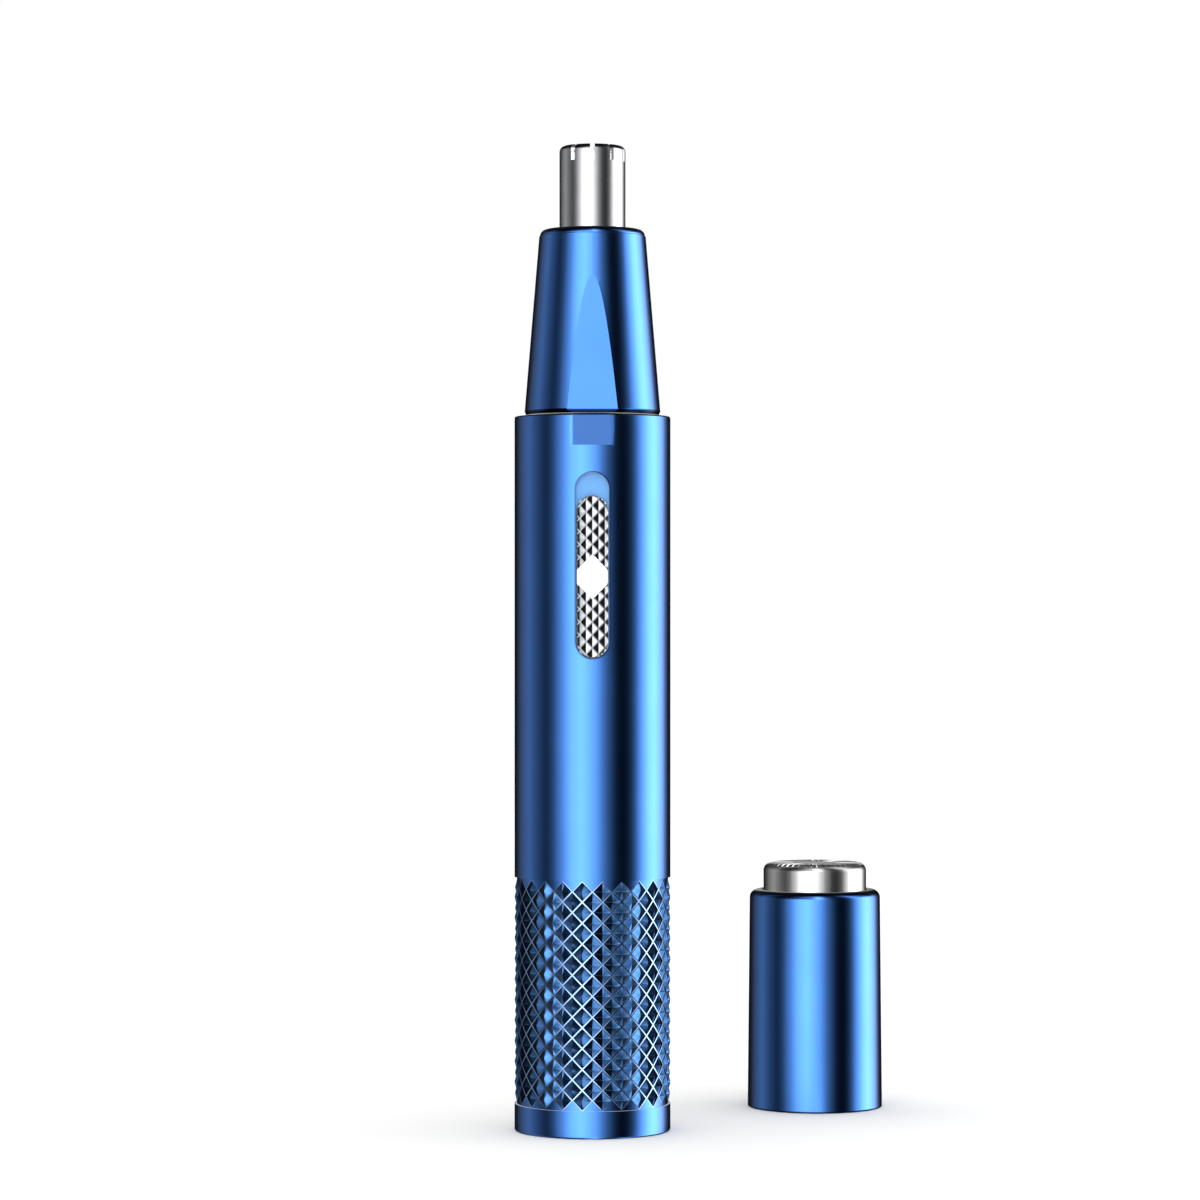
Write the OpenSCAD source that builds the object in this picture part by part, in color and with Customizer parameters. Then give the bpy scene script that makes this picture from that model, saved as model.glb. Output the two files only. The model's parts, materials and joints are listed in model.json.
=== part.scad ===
// Rechargeable nose hair trimmer: a round knurled handle with a push-on cutting head,
// and a spare foil shaver head standing beside it.
// Z is up, the switch faces -Y, and the origin is the centre of the handle's base.

/* [Handle] */
// Height of the metal body tube
body_h = 101.5; // [100:0.5:106]
// Outside diameter of the body tube
body_d = 22.2; // [22:0.1:23]
// Wall of the body tube
body_wall = 1.5; // [1.3:0.1:1.6]
// Width of the index flat at the top of the tube
flat_w = 5.9; // [4:0.1:7]
// Height of the index flat
flat_h = 4.4; // [3:0.1:5]

/* [Switch] */
// Width of the switch slot
slot_w = 4.8; // [4.6:0.1:5]
// Height of the switch slot
slot_h = 26.1; // [25.5:0.1:28]
// Distance from the top of the tube down to the slot
slot_drop = 8.2; // [7:0.1:9]
// Travel of the switch from off to on
switch_travel = 3.1; // [2.5:0.1:4]

/* [Heads] */
// Diameter of the nose head where it meets the handle
head_d = 19.4; // [19:0.1:20]
// Wall of the metal head shells
head_wall = 1.2; // [1.1:0.05:1.3]
// Depth of the socket that a head is pushed on with
socket_depth = 6.5; // [6.3:0.1:7]
// Gap between the top of the handle and a fitted head
head_gap = 0.2; // [0.15:0.05:0.4]

/* [Nose head] */
// Height of the tapered cone
cone_h = 26.4; // [25:0.1:28]
// Diameter of the cone at its top
cone_top_d = 15; // [14:0.1:16]
// Outside diameter of the cutting tube
tube_d = 9.4; // [9:0.1:9.6]
// Height of the cutting tube above the cone
tube_rise = 11.9; // [10:0.1:14]
// Number of hair slots in the tip
tip_slots = 10; // [8:1:12]
// Width of a hair slot
tip_slot_w = 0.65; // [0.5:0.05:0.8]
// Depth of the hair slots below the tip
tip_slot_h = 2.3; // [2:0.1:3]

/* [Shaver head] */
// Height of the shaver head's sleeve
sleeve_h = 32.3; // [30:0.1:34]
// Diameter of the sleeve at its foot
sleeve_d = 20; // [19.4:0.1:20.4]
// Diameter of the sleeve at its top
sleeve_top_d = 19.4; // [19:0.1:19.8]
// Diameter of the foil cup
foil_d = 15.3; // [14.8:0.1:15.5]
// Height of the foil cup above the sleeve
foil_rise = 4; // [3.5:0.1:5]
// Number of slits in the foil
foil_slits = 48; // [24:1:60]
// Place of the spare head beside the handle, to the right
shaver_x = 33.1; // [26:0.1:50]
// Place of the spare head behind the handle's centre
shaver_y = 28; // [0:1:40]

/* [Power and drive] */
// Diameter of the rechargeable cell
cell_d = 14; // [13.5:0.1:14]
// Length of the rechargeable cell
cell_h = 49; // [45:0.5:49]
// Diameter of the motor can
motor_d = 12; // [11.5:0.1:12]
// Size of the motor can across its flats
motor_flats = 10; // [9.8:0.1:10]
// Length of the motor can
motor_h = 22; // [20:0.5:22]
// Diameter of the motor shaft
shaft_d = 2; // [1.5:0.1:2]
// Diameter of the spindles in both heads
spindle_d = 2.4; // [2:0.1:2.5]

/* [Hidden] */

$fn = 96;

// Overshoot of a cut past the face that it opens
past = 1;

// Fits
run_gap = 0.05;
slip_gap = 0.1;
free_gap = 0.2;

// Body tube
body_r = body_d / 2;
bore_r = body_r - body_wall;
edge = 0.3;
flat_y = sqrt(body_r * body_r - flat_w * flat_w / 4);

// Chassis that carries the parts inside the tube
chassis_r = bore_r - slip_gap * 2;
chassis_wall = 1;
chassis_in = chassis_r - chassis_wall;
cap_h = 5;
chassis_z = cap_h + free_gap;
plug_h = 6.2;
chassis_top = body_h - plug_h - slip_gap;

// Circuit board, upright behind the front wall
board_t = 0.8;
board_w = 9.6;
board_front = 6.7;
board_back = board_front - board_t;
board_top = body_h - 11.5;

// USB-C port on the back of the board
port_w = 8.9;
port_t = 3.2;
port_h = 7.3;
port_wall = 0.3;
port_y = -board_back + port_t / 2;
port_z = 0.3;

// Charge light in front of the board
pipe_r = 0.7;
pipe_y = -board_front - slip_gap - pipe_r;
pipe_top = 8;

// Cell, set back to leave room for the board
cell_r = cell_d / 2;
cell_y = chassis_in - cell_r - slip_gap;
cell_z = 14;
cell_top = cell_z + cell_h;
nub_h = 0.8;
tab_t = 0.2;
tab_w = 4;

// Motor on the handle's axis
motor_r = motor_d / 2;
motor_top = body_h - 11;
motor_z = motor_top - motor_h;
can_wall = 0.7;
bell_h = 2;
motor_boss_r = 2.2;
motor_boss_h = 1.5;
shaft_r = shaft_d / 2;
core_z = motor_z + 4;
core_h = motor_h - 8;
core_r = 3.7;
comm_r = 1.7;
lead_x = 3.5;
lead_z = motor_z - bell_h - 1.3;

// Screws
screw_x = motor_r + 0.3;
screw_levels = [chassis_z + 5.3, motor_z - 3.9, motor_top + 2];
screw_r = 0.75;
screw_head_r = 1.3;
screw_head_h = 1;
screw_head_y = 5.2;
screw_end_y = 4;
screw_boss_r = 1.4;
cap_screw_at = [3.6, 6];
cap_screw_z = 0.3;
cap_screw_h = 8.5;
cap_boss_r = 1.7;

// Slot, track, button and carrier; "ahead" values are distances towards -Y
slot_top = body_h - slot_drop;
slot_z = slot_top - slot_h;
button_gap = 0.17;
button_w = slot_w - 2 * button_gap;
button_z = slot_z + slip_gap;
button_h = slot_h - switch_travel - 3 * slip_gap;
button_proud = 0.3;
button_back = 10.3;
track_front = 10.1;
track_step = 8.9;
track_back = 8.1;
track_w = 7;
track_over = 1.2;
stem_w = 1.4;
stem_h = 5;
stem_z = button_z + button_h / 2 - stem_h / 2;
shoe_front = track_back - free_gap;
shoe_back = 7.3;
shoe_w = 5;
shoe_over = 2;
wiper_back = board_front + 0.15;
pad_t = 0.05;

// Spigot that the heads push on to
spigot_r = 7.6;
spigot_h = 6.1;
plug_top = body_h - 0.3;
plug_z = body_h - plug_h;
plug_floor = 1.7;
seal_groove_r = 6.8;
seal_z = body_h + 3.1;
seal_r = 0.42;
seal_groove_h = 1.2;
well_r = 3.6;
shaft_seal_r = 2.6;

// Heads, measured up from the face that meets the handle
head_r = head_d / 2;
socket_r = spigot_r + slip_gap;
web_h = 2;
web_top = socket_depth + web_h;
web_hole_r = 3.3;
dog_r = 3;
dog_h = 3;
dog_tongue_w = 1.2;
dog_tongue_l = 5;
dog_tongue_h = 2.1;
dog_z = socket_depth + 0.7 + dog_tongue_h;
spindle_r = spindle_d / 2;
bush_z = dog_z + dog_h + 0.3;
bush_h = 4;
nose_at = [0, 0, body_h + head_gap];
shaver_at = [shaver_x, shaver_y, 0];

// Coupler that stands out of the spigot, with a slot for the dog's tongue
coupler_r = 3;
coupler_z = plug_z + 2.3;
coupler_top = body_h + head_gap + dog_z - free_gap;
dog_slot_w = dog_tongue_w + 2 * free_gap;
dog_slot_h = dog_tongue_h - slip_gap;
shaft_top = coupler_top - dog_slot_h - 1.4;
shaft_foot = motor_z - 1.6;

// Nose head
cone_top_r = cone_top_d / 2;
cone_shoulder = 1;
cone_foot_h = 0.55;
cone_foot_in = 0.27;
facet_base = 9;
facet_lean = 2.7;
tube_r = tube_d / 2;
tube_wall = 0.55;
tube_in = tube_r - tube_wall;
tube_z = web_top;
tube_top = cone_h + tube_rise;
tip_round = 0.85;
tip_wall = 0.6;
liner_top = cone_h - 1.5;
cone_hole_r = tube_r + 0.4;
nose_collar_z = bush_z + bush_h + 7;
collar_h = 1.2;
nose_collar_r = 3.2;
blade_hub_r = 2.6;
blade_hub_h = 3;
blade_t = 0.6;
blade_z = tube_top - 11;
blade_top = tube_top - tip_wall - 0.35;

// Shaver head
sleeve_r = sleeve_d / 2;
sleeve_top_r = sleeve_top_d / 2;
sleeve_shoulder = 1.2;
foil_r = foil_d / 2;
foil_wall = 0.3;
foil_z = 24;
foil_top = sleeve_h + foil_rise;
foil_round = 1.2;
foil_slit_w = 0.25;
foil_slit_in = 3.2;
foil_slit_h = 0.95;
shelf_r = foil_r - 0.5;
post_r = 4.4;
shaver_bush_r = 2.6;
post_top = bush_z + bush_h;
holder_z = 27;
holder_h = 2;
holder_r = 5.2;
shaver_blade_n = 6;
shaver_blade_t = 0.5;
shaver_blade_in = 2;
shaver_blade_out = 6.3;
shaver_blade_top = foil_top - foil_wall - 0.15;

// Springs
spring_wire = 0.2;
spring_r = 2.1;
spring_sides = 6;
spring_steps = 14;

// Radius of a head shell at height z, for a shell that narrows from foot_r to top_r
function shell_r(foot_r, top_r, h, z) = foot_r + (top_r - foot_r) * z / h;

// Inside radius of a head shell at height z
function shell_in(foot_r, top_r, h, z) = shell_r(foot_r, top_r, h, z) - head_wall;

// Places of the six chassis screws
function screw_places() = [for (side = [-1, 1]) for (z = screw_levels) [side * screw_x, z]];

// Pill-shaped outline, standing between two heights
module pill_outline(w, z0, z1) {
    translate([0, z0 + w / 2]) circle(d = w);
    translate([0, z1 - w / 2]) circle(d = w);
    translate([-w / 2, z0 + w / 2]) square([w, z1 - z0 - w]);
}

// Upright pill-shaped slab whose faces are "front" and "back" ahead of the axis
module pill(w, z0, z1, front, back) {
    translate([0, -back, 0])
        rotate([90, 0, 0])
            linear_extrude(front - back)
                pill_outline(w, z0, z1);
}

// Upright block, centred on X, whose faces are "front" and "back" ahead of the axis
module block(w, z0, z1, front, back) {
    translate([-w / 2, -front, z0])
        cube([w, front - back, z1 - z0]);
}

// Pill-shaped outline lying along X
module port_outline(w, t) {
    for (side = [-1, 1])
        translate([side * (w - t) / 2, 0]) circle(d = t);
    square([w - t, t], center = true);
}

// Ring between two radii and two heights
module ring(r_out, r_in, z0, z1) {
    translate([0, 0, z0])
        difference() {
            cylinder(r = r_out, h = z1 - z0);
            translate([0, 0, -past]) cylinder(r = r_in, h = z1 - z0 + 2 * past);
        }
}

// O-ring round the Z axis
module o_ring(r, wire_r, z) {
    translate([0, 0, z])
        rotate_extrude()
            translate([r, 0]) circle(r = wire_r, $fn = 32);
}

// Small cross-headed screw along +Z, with the top of its head at z = 0
module screw(r, head_r, head_h, length) {
    difference() {
        union() {
            cylinder(r = head_r, h = head_h, $fn = 32);
            cylinder(r = r, h = length, $fn = 32);
        }
        for (turn = [0, 90])
            rotate(turn)
                translate([-head_r * 0.6, -0.15, -past]) cube([head_r * 1.2, 0.3, past + head_h / 2]);
    }
}

// Compression spring as a round wire swept along a helix
function coil_ring(r, turn, pitch) = [
    for (side = [0 : spring_sides - 1])
        let (
            around = 360 * side / spring_sides,
            reach = r + spring_wire * cos(around)
        )
        [reach * cos(360 * turn), reach * sin(360 * turn), pitch * turn + spring_wire * sin(around)]
];

module spring(r, z0, z1, turns) {
    steps = turns * spring_steps;
    pitch = (z1 - z0 - 2 * spring_wire) / turns;
    points = [for (i = [0 : steps]) each coil_ring(r, i / spring_steps, pitch)];
    walls = [
        for (i = [0 : steps - 1])
            for (j = [0 : spring_sides - 1])
                let (k = (j + 1) % spring_sides, a = i * spring_sides, b = a + spring_sides)
                [a + j, b + j, b + k, a + k]
    ];
    first_end = [for (j = [0 : spring_sides - 1]) j];
    last_end = [for (j = [spring_sides - 1 : -1 : 0]) steps * spring_sides + j];
    translate([0, 0, z0 + spring_wire])
        polyhedron(points = points, faces = concat([first_end], walls, [last_end]), convexity = 10);
}

// ---- Handle ----

// Anodised tube with the switch slot and the index flat
module body_tube() {
    color("royalblue")
        difference() {
            rotate_extrude()
                polygon([
                    [0, 0], [body_r - edge, 0], [body_r, edge],
                    [body_r, body_h - edge], [body_r - edge, body_h], [0, body_h]
                ]);
            translate([0, 0, -past]) cylinder(r = bore_r, h = body_h + 2 * past);
            pill(slot_w, slot_z, slot_top, body_r + past, 0);
            block(flat_w + past, body_h - flat_h, body_h + past, body_r + past, flat_y);
        }
}

// Recessed track behind the slot, with a slit for the button's stem
module switch_track() {
    color("cornflowerblue")
        difference() {
            union() {
                pill(
                    slot_w - slip_gap, slot_z + slip_gap / 2, slot_top - slip_gap / 2,
                    track_front, track_step
                );
                block(track_w, slot_z - track_over, slot_top + track_over, track_step, track_back);
            }
            block(
                stem_w + 2 * free_gap, stem_z - free_gap, stem_z + stem_h + switch_travel + free_gap,
                track_front + past, track_back - past
            );
        }
}

// Plug that closes the foot of the tube, flush with its rim
module end_cap() {
    color("midnightblue")
        difference() {
            rotate_extrude()
                polygon([
                    [0, 0], [bore_r - slip_gap, 0], [bore_r - slip_gap, 2.2], [bore_r - 1, 2.2],
                    [bore_r - 1, 3.6], [bore_r - slip_gap, 3.6], [bore_r - slip_gap, cap_h], [0, cap_h]
                ]);
            translate([0, port_y, -past])
                linear_extrude(cap_h + 2 * past)
                    port_outline(port_w + free_gap, port_t + free_gap);
            translate([0, pipe_y, -past]) cylinder(r = pipe_r, h = cap_h + 2 * past, $fn = 32);
            for (side = [-1, 1])
                translate([side * cap_screw_at[0], cap_screw_at[1], 0]) {
                    translate([0, 0, -past]) cylinder(r = screw_r, h = cap_h + 2 * past, $fn = 32);
                    translate([0, 0, -past])
                        cylinder(
                            r = screw_head_r + slip_gap, h = cap_screw_z + screw_head_h + past, $fn = 32
                        );
                }
        }
}

module end_cap_screws() {
    color("silver")
        for (side = [-1, 1])
            translate([side * cap_screw_at[0], cap_screw_at[1], cap_screw_z])
                screw(screw_r, screw_head_r, screw_head_h, cap_screw_h);
}

module end_cap_seal() {
    color("dimgray") o_ring(bore_r - 0.5, 0.5, 2.9);
}

module usb_port_shell() {
    color("lightgray")
        translate([0, port_y, port_z])
            difference() {
                linear_extrude(port_h) port_outline(port_w, port_t);
                translate([0, 0, -past])
                    linear_extrude(port_h - port_wall + past)
                        port_outline(port_w - 2 * port_wall, port_t - 2 * port_wall);
            }
}

module usb_port_tongue() {
    color("black")
        translate([0, port_y, port_z + port_h - port_wall]) {
            translate([-3.4, -0.35, -5.2]) cube([6.8, 0.7, 5.2]);
            translate([-3.6, -1, -1.5]) cube([7.2, 2, 1.5]);
        }
}

module charge_light_pipe() {
    color("white")
        translate([0, pipe_y, slip_gap]) cylinder(r = pipe_r, h = pipe_top - slip_gap, $fn = 32);
}

module charge_led() {
    color("lightyellow") block(1.4, pipe_top, pipe_top + 1, board_front + 0.7, board_front);
}

module circuit_board() {
    color("darkgreen") block(board_w, chassis_z, board_top, board_front, board_back);
}

// Charge and protection chips with their small passive parts
module board_chips() {
    color("black") {
        block(3.2, chassis_z + 8, chassis_z + 11.2, board_front + 0.9, board_front);
        block(3, chassis_z + 20, chassis_z + 24, board_front + 0.8, board_front);
        block(2, chassis_z + 33, chassis_z + 35, board_front + 0.7, board_front);
    }
    color("tan")
        for (row = [0 : 4])
            for (side = [-1, 1])
                translate([side * 3, 0, 0])
                    block(
                        0.8, chassis_z + 6 + 7 * row, chassis_z + 7.6 + 7 * row,
                        board_front + 0.5, board_front
                    );
}

// Gold pads that the wiper bridges
module switch_contacts() {
    color("gold")
        for (side = [-1, 1])
            translate([side * 1.4, 0, 0])
                block(
                    1.2, stem_z - 1, stem_z + stem_h + switch_travel + 1,
                    board_front + pad_t, board_front
                );
}

module battery_cell() {
    color("steelblue")
        translate([0, cell_y, cell_z]) {
            cylinder(r = cell_r, h = cell_h);
            cylinder(r = 2.6, h = cell_h + nub_h, $fn = 48);
        }
}

// Nickel tabs from the ends of the cell forward to the board
module battery_tabs() {
    color("silver")
        for (z = [cell_z - tab_t, cell_top + nub_h])
            block(tab_w, z, z + tab_t, board_back, -cell_y - 2);
}

// Outline of the motor with the board's channel ahead of it, cut out of the ribs
module rib_opening() {
    translate([-motor_r - slip_gap, -motor_flats / 2 - slip_gap])
        square([motor_d + 2 * slip_gap, motor_flats + 2 * slip_gap]);
    translate([-board_w / 2 - slip_gap, -chassis_r])
        square([board_w + 2 * slip_gap, chassis_r]);
}

// Half of the chassis: a shell with ribs and screw bosses, on the side that "side" names
module chassis_half(side) {
    difference() {
        union() {
            ring(chassis_r, chassis_in, chassis_z, chassis_top);
            for (z = [motor_z + 2, motor_top - 4])
                translate([0, 0, z])
                    linear_extrude(chassis_wall)
                        difference() {
                            circle(r = chassis_in + slip_gap);
                            rib_opening();
                        }
            translate([0, 0, cell_z - 2.2])
                linear_extrude(2)
                    difference() {
                        circle(r = chassis_in + slip_gap);
                        rib_opening();
                        circle(r = motor_r);
                    }
            intersection() {
                cylinder(r = chassis_r - slip_gap, h = chassis_top);
                for (at = screw_places())
                    translate([at[0], chassis_r, at[1]])
                        rotate([90, 0, 0]) cylinder(r = screw_boss_r, h = 2 * chassis_r, $fn = 32);
            }
        }
        translate([-body_r, side > 0 ? -2 * body_r : 0, 0]) cube([2 * body_r, 2 * body_r, body_h]);
        for (at = screw_places())
            translate([at[0], side > 0 ? screw_end_y + slip_gap : past, at[1]])
                rotate([90, 0, 0])
                    cylinder(r = screw_r, h = body_r, $fn = 32);
    }
}

module chassis_front() {
    color("dimgray")
        difference() {
            chassis_half(-1);
            block(
                track_w + free_gap, slot_z - track_over - slip_gap, body_h,
                chassis_r + past, board_front
            );
            for (at = screw_places())
                translate([at[0], -screw_head_y + screw_head_h, at[1]])
                    rotate([90, 0, 0]) cylinder(r = screw_head_r + slip_gap, h = body_r, $fn = 32);
        }
}

module chassis_rear() {
    color("gray") {
        chassis_half(1);
        for (side = [-1, 1])
            difference() {
                intersection() {
                    translate([side * cap_screw_at[0], cap_screw_at[1], chassis_z])
                        cylinder(r = cap_boss_r, h = cell_z - 2.2 - chassis_z, $fn = 32);
                    cylinder(r = chassis_in, h = cell_z);
                }
                translate([side * cap_screw_at[0], cap_screw_at[1], 0])
                    cylinder(r = screw_r, h = cap_screw_z + cap_screw_h + slip_gap, $fn = 32);
            }
    }
}

module chassis_screws() {
    color("silver")
        for (at = screw_places())
            translate([at[0], -screw_head_y, at[1]])
                rotate([-90, 0, 0])
                    screw(screw_r, screw_head_r, screw_head_h, screw_head_y + screw_end_y);
}

// ---- Motor ----

// Round outline with two flats, facing front and back
module motor_outline(shrink) {
    intersection() {
        circle(r = motor_r - shrink);
        square([motor_d, motor_flats - 2 * shrink], center = true);
    }
}

module motor_can() {
    color("silver")
        difference() {
            union() {
                translate([0, 0, motor_z]) linear_extrude(motor_h) motor_outline(0);
                translate([0, 0, motor_top]) cylinder(r = motor_boss_r, h = motor_boss_h, $fn = 48);
            }
            translate([0, 0, motor_z - past])
                linear_extrude(motor_h - can_wall + past) motor_outline(can_wall);
            cylinder(r = shaft_r + run_gap, h = motor_top + motor_boss_h + past);
        }
}

module motor_end_bell() {
    color("ivory")
        difference() {
            union() {
                translate([0, 0, motor_z - bell_h]) linear_extrude(bell_h) motor_outline(0);
                translate([0, 0, motor_z]) linear_extrude(0.8) motor_outline(can_wall + slip_gap);
            }
            translate([0, 0, motor_z - bell_h - past])
                cylinder(r = shaft_r + run_gap, h = bell_h + 2 * past);
            translate([0, 0, motor_z - 0.8]) cylinder(r = comm_r + 1.6, h = 2 * past);
        }
}

// Pair of curved magnets against the round sides of the can
module motor_magnets() {
    magnet_out = motor_r - can_wall;
    magnet_in = core_r + 0.35;
    color("darkslategray")
        intersection() {
            ring(magnet_out, magnet_in, core_z - 0.5, core_z + core_h + 0.5);
            for (side = [-1, 1])
                translate([side * motor_r, 0, core_z + core_h / 2])
                    cube([motor_r * 1.3, motor_flats * 0.7, core_h + 2], center = true);
        }
}

// Spring arms that press on the commutator
module motor_brushes() {
    color("goldenrod")
        for (side = [-1, 1])
            translate([side * (comm_r + run_gap + 0.2), 0, motor_z + 1])
                translate([-0.2, -3.6, 0]) cube([0.4, 5, 0.8]);
}

// Two insulated leads from the motor forward to the board
module motor_leads() {
    color("firebrick")
        for (side = [-1, 1])
            translate([side * lead_x, 0, lead_z]) {
                translate([0, 0.5, 0])
                    rotate([90, 0, 0]) cylinder(r = 0.45, h = board_back + 0.5, $fn = 24);
                translate([0, 0, 0]) cylinder(r = 0.3, h = motor_z - bell_h - lead_z, $fn = 24);
            }
}

module motor_shaft() {
    color("silver")
        translate([0, 0, shaft_foot]) cylinder(r = shaft_r, h = shaft_top - shaft_foot);
}

// Three-pole laminated core
module motor_armature() {
    color("slategray")
        translate([0, 0, core_z])
            linear_extrude(core_h)
                difference() {
                    circle(r = core_r);
                    circle(r = shaft_r);
                    for (turn = [0, 120, 240])
                        rotate(turn)
                            translate([2.7, 0]) square([1.4, 2.4], center = true);
                    for (turn = [0, 120, 240])
                        rotate(turn)
                            translate([3.2, -0.3]) square([1, 0.6]);
                }
}

module motor_windings() {
    color("chocolate")
        for (turn = [0, 120, 240])
            rotate(turn)
                translate([2.05, -1.15, core_z - 0.6]) cube([1.3, 2.3, core_h + 1.2]);
}

module motor_commutator() {
    color("peru") ring(comm_r, shaft_r, motor_z + 0.4, motor_z + 2.6);
}

module drive_coupler() {
    color("whitesmoke")
        difference() {
            translate([0, 0, coupler_z]) cylinder(r = coupler_r, h = coupler_top - coupler_z);
            cylinder(r = shaft_r, h = shaft_top);
            translate([-coupler_r - past, -dog_slot_w / 2, coupler_top - dog_slot_h])
                cube([2 * (coupler_r + past), dog_slot_w, dog_slot_h + past]);
        }
}

// ---- Spigot and seals ----

// Plug in the top of the tube with the spigot that the heads push on to
module head_spigot() {
    spigot_top = body_h + spigot_h;
    plug_r = bore_r - run_gap;
    color("midnightblue")
        difference() {
            rotate_extrude()
                polygon([
                    [0, plug_z], [plug_r, plug_z], [plug_r, plug_top], [spigot_r, plug_top],
                    [spigot_r, seal_z - seal_groove_h / 2], [seal_groove_r, seal_z - seal_groove_h / 2],
                    [seal_groove_r, seal_z + seal_groove_h / 2], [spigot_r, seal_z + seal_groove_h / 2],
                    [spigot_r, spigot_top - edge], [spigot_r - edge, spigot_top], [0, spigot_top]
                ]);
            cylinder(r = shaft_seal_r, h = body_h);
            translate([0, 0, plug_z + plug_floor]) cylinder(r = well_r, h = body_h);
        }
}

module spigot_seal() {
    color("black") o_ring(seal_groove_r + seal_r, seal_r, seal_z);
}

module shaft_seal() {
    color("dimgray") ring(shaft_seal_r, shaft_r + run_gap, plug_z, plug_z + plug_floor);
}

// ---- Switch ----

// Thumb button, curved like the tube
module switch_button() {
    color("silver")
        intersection() {
            pill(button_w, button_z, button_z + button_h, body_r + past, button_back);
            cylinder(r = body_r + button_proud, h = body_h);
        }
}

// Stem through the slit and the shoe behind the track
module switch_carrier() {
    color("black") {
        block(stem_w, stem_z, stem_z + stem_h, button_back, shoe_front);
        block(shoe_w, stem_z - shoe_over, stem_z + stem_h + shoe_over, shoe_front, shoe_back);
    }
}

// Sprung leaf that bridges the gold pads
module switch_wiper() {
    color("goldenrod")
        for (side = [-1, 1])
            translate([side * 1.4, 0, 0]) {
                block(0.8, stem_z - 1, stem_z + stem_h + 1, shoe_back, shoe_back - 0.15);
                block(0.8, stem_z + 1, stem_z + 2, shoe_back, wiper_back);
            }
}

// ---- Parts that both heads share, measured up from the head's lower face ----

// Dog whose tongue drops into the coupler's slot
module drive_dog() {
    color("whitesmoke")
        difference() {
            union() {
                translate([0, 0, dog_z]) cylinder(r = dog_r, h = dog_h);
                translate([-dog_tongue_l / 2, -dog_tongue_w / 2, dog_z - dog_tongue_h])
                    cube([dog_tongue_l, dog_tongue_w, dog_tongue_h]);
            }
            translate([0, 0, dog_z]) cylinder(r = spindle_r, h = dog_h + past);
        }
}

// ---- Nose head ----

// Tapered shell with a chamfered foot and an index facet
module nose_cone() {
    roof = cone_h - head_wall;
    color("royalblue")
        translate(nose_at)
            difference() {
                rotate_extrude()
                    polygon(concat(
                        [[0, 0], [head_r - cone_foot_in, 0], [head_r, cone_foot_h]],
                        [
                            for (turn = [0 : 15 : 90])
                                [
                                    cone_top_r - cone_shoulder * (1 - cos(turn)),
                                    cone_h - cone_shoulder * (1 - sin(turn))
                                ]
                        ],
                        [[0, cone_h]]
                    ));
                translate([0, 0, -past])
                    rotate_extrude()
                        polygon([
                            [0, 0], [shell_in(head_r, cone_top_r, cone_h, -past), 0],
                            [shell_in(head_r, cone_top_r, cone_h, roof), roof + past], [0, roof + past]
                        ]);
                cylinder(r = cone_hole_r, h = cone_h + past);
                translate([0, -facet_base, 0])
                    rotate([-facet_lean, 0, 0])
                        translate([-head_r, -head_r, -past]) cube([2 * head_r, head_r, cone_h]);
            }
}

// Moulded core: socket below, web with the drive hole, and a sleeve for the tube
module nose_liner() {
    foot_r = shell_in(head_r, cone_top_r, cone_h, 0) - run_gap;
    top_r = shell_in(head_r, cone_top_r, cone_h, liner_top) - run_gap;
    color("midnightblue")
        translate(nose_at)
            difference() {
                rotate_extrude()
                    polygon([[0, 0], [foot_r, 0], [top_r, liner_top], [0, liner_top]]);
                translate([0, 0, -past]) cylinder(r = socket_r, h = socket_depth + past);
                cylinder(r = web_hole_r, h = tube_z + past);
                translate([0, 0, tube_z]) cylinder(r = tube_r, h = liner_top);
                ring(tube_r + 1.8, tube_r + 0.8, tube_z + 2, liner_top + past);
            }
}

// Steel tube with a dished, slotted tip
module cutter_tube() {
    dish = 0.25;
    color("silver")
        translate(nose_at)
            difference() {
                rotate_extrude()
                    polygon(concat(
                        [[tube_in, tube_z], [tube_r, tube_z]],
                        [
                            for (turn = [0 : 15 : 90])
                                [
                                    tube_r - tip_round * (1 - cos(turn)),
                                    tube_top - tip_round * (1 - sin(turn))
                                ]
                        ],
                        [
                            [2.4, tube_top - dish], [0, tube_top - dish],
                            [0, tube_top - tip_wall - dish], [tube_in, tube_top - tip_wall - dish]
                        ]
                    ));
                for (slot = [0 : tip_slots - 1])
                    rotate(360 * slot / tip_slots - 90)
                        translate([1.6, -tip_slot_w / 2, tube_top - tip_slot_h])
                            cube([tube_r, tip_slot_w, tip_slot_h + past]);
            }
}

module nose_bush() {
    color("peru")
        translate(nose_at)
            ring(tube_in, spindle_r + run_gap, bush_z, bush_z + bush_h);
}

module nose_spindle() {
    color("silver")
        translate(nose_at) {
            translate([0, 0, dog_z]) cylinder(r = spindle_r, h = blade_z + 1 - dog_z);
            translate([0, 0, nose_collar_z]) cylinder(r = nose_collar_r, h = collar_h);
        }
}

// Hub with two crossed cutting plates, turning just inside the tip
module nose_blade() {
    plate_w = 2 * (tube_in - slip_gap);
    color("gainsboro")
        translate(nose_at)
            difference() {
                union() {
                    translate([0, 0, blade_z]) cylinder(r = blade_hub_r, h = blade_hub_h);
                    for (turn = [0, 90])
                        rotate(turn)
                            translate([-plate_w / 2, -blade_t / 2, blade_z + 1])
                                cube([plate_w, blade_t, blade_top - blade_z - 1]);
                }
                cylinder(r = spindle_r, h = blade_z + 1);
            }
}

module nose_spring() {
    color("silver")
        translate(nose_at)
            spring(spring_r, bush_z + bush_h + slip_gap, nose_collar_z, 5);
}

module nose_dog() {
    translate(nose_at) drive_dog();
}

// ---- Shaver head ----

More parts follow.
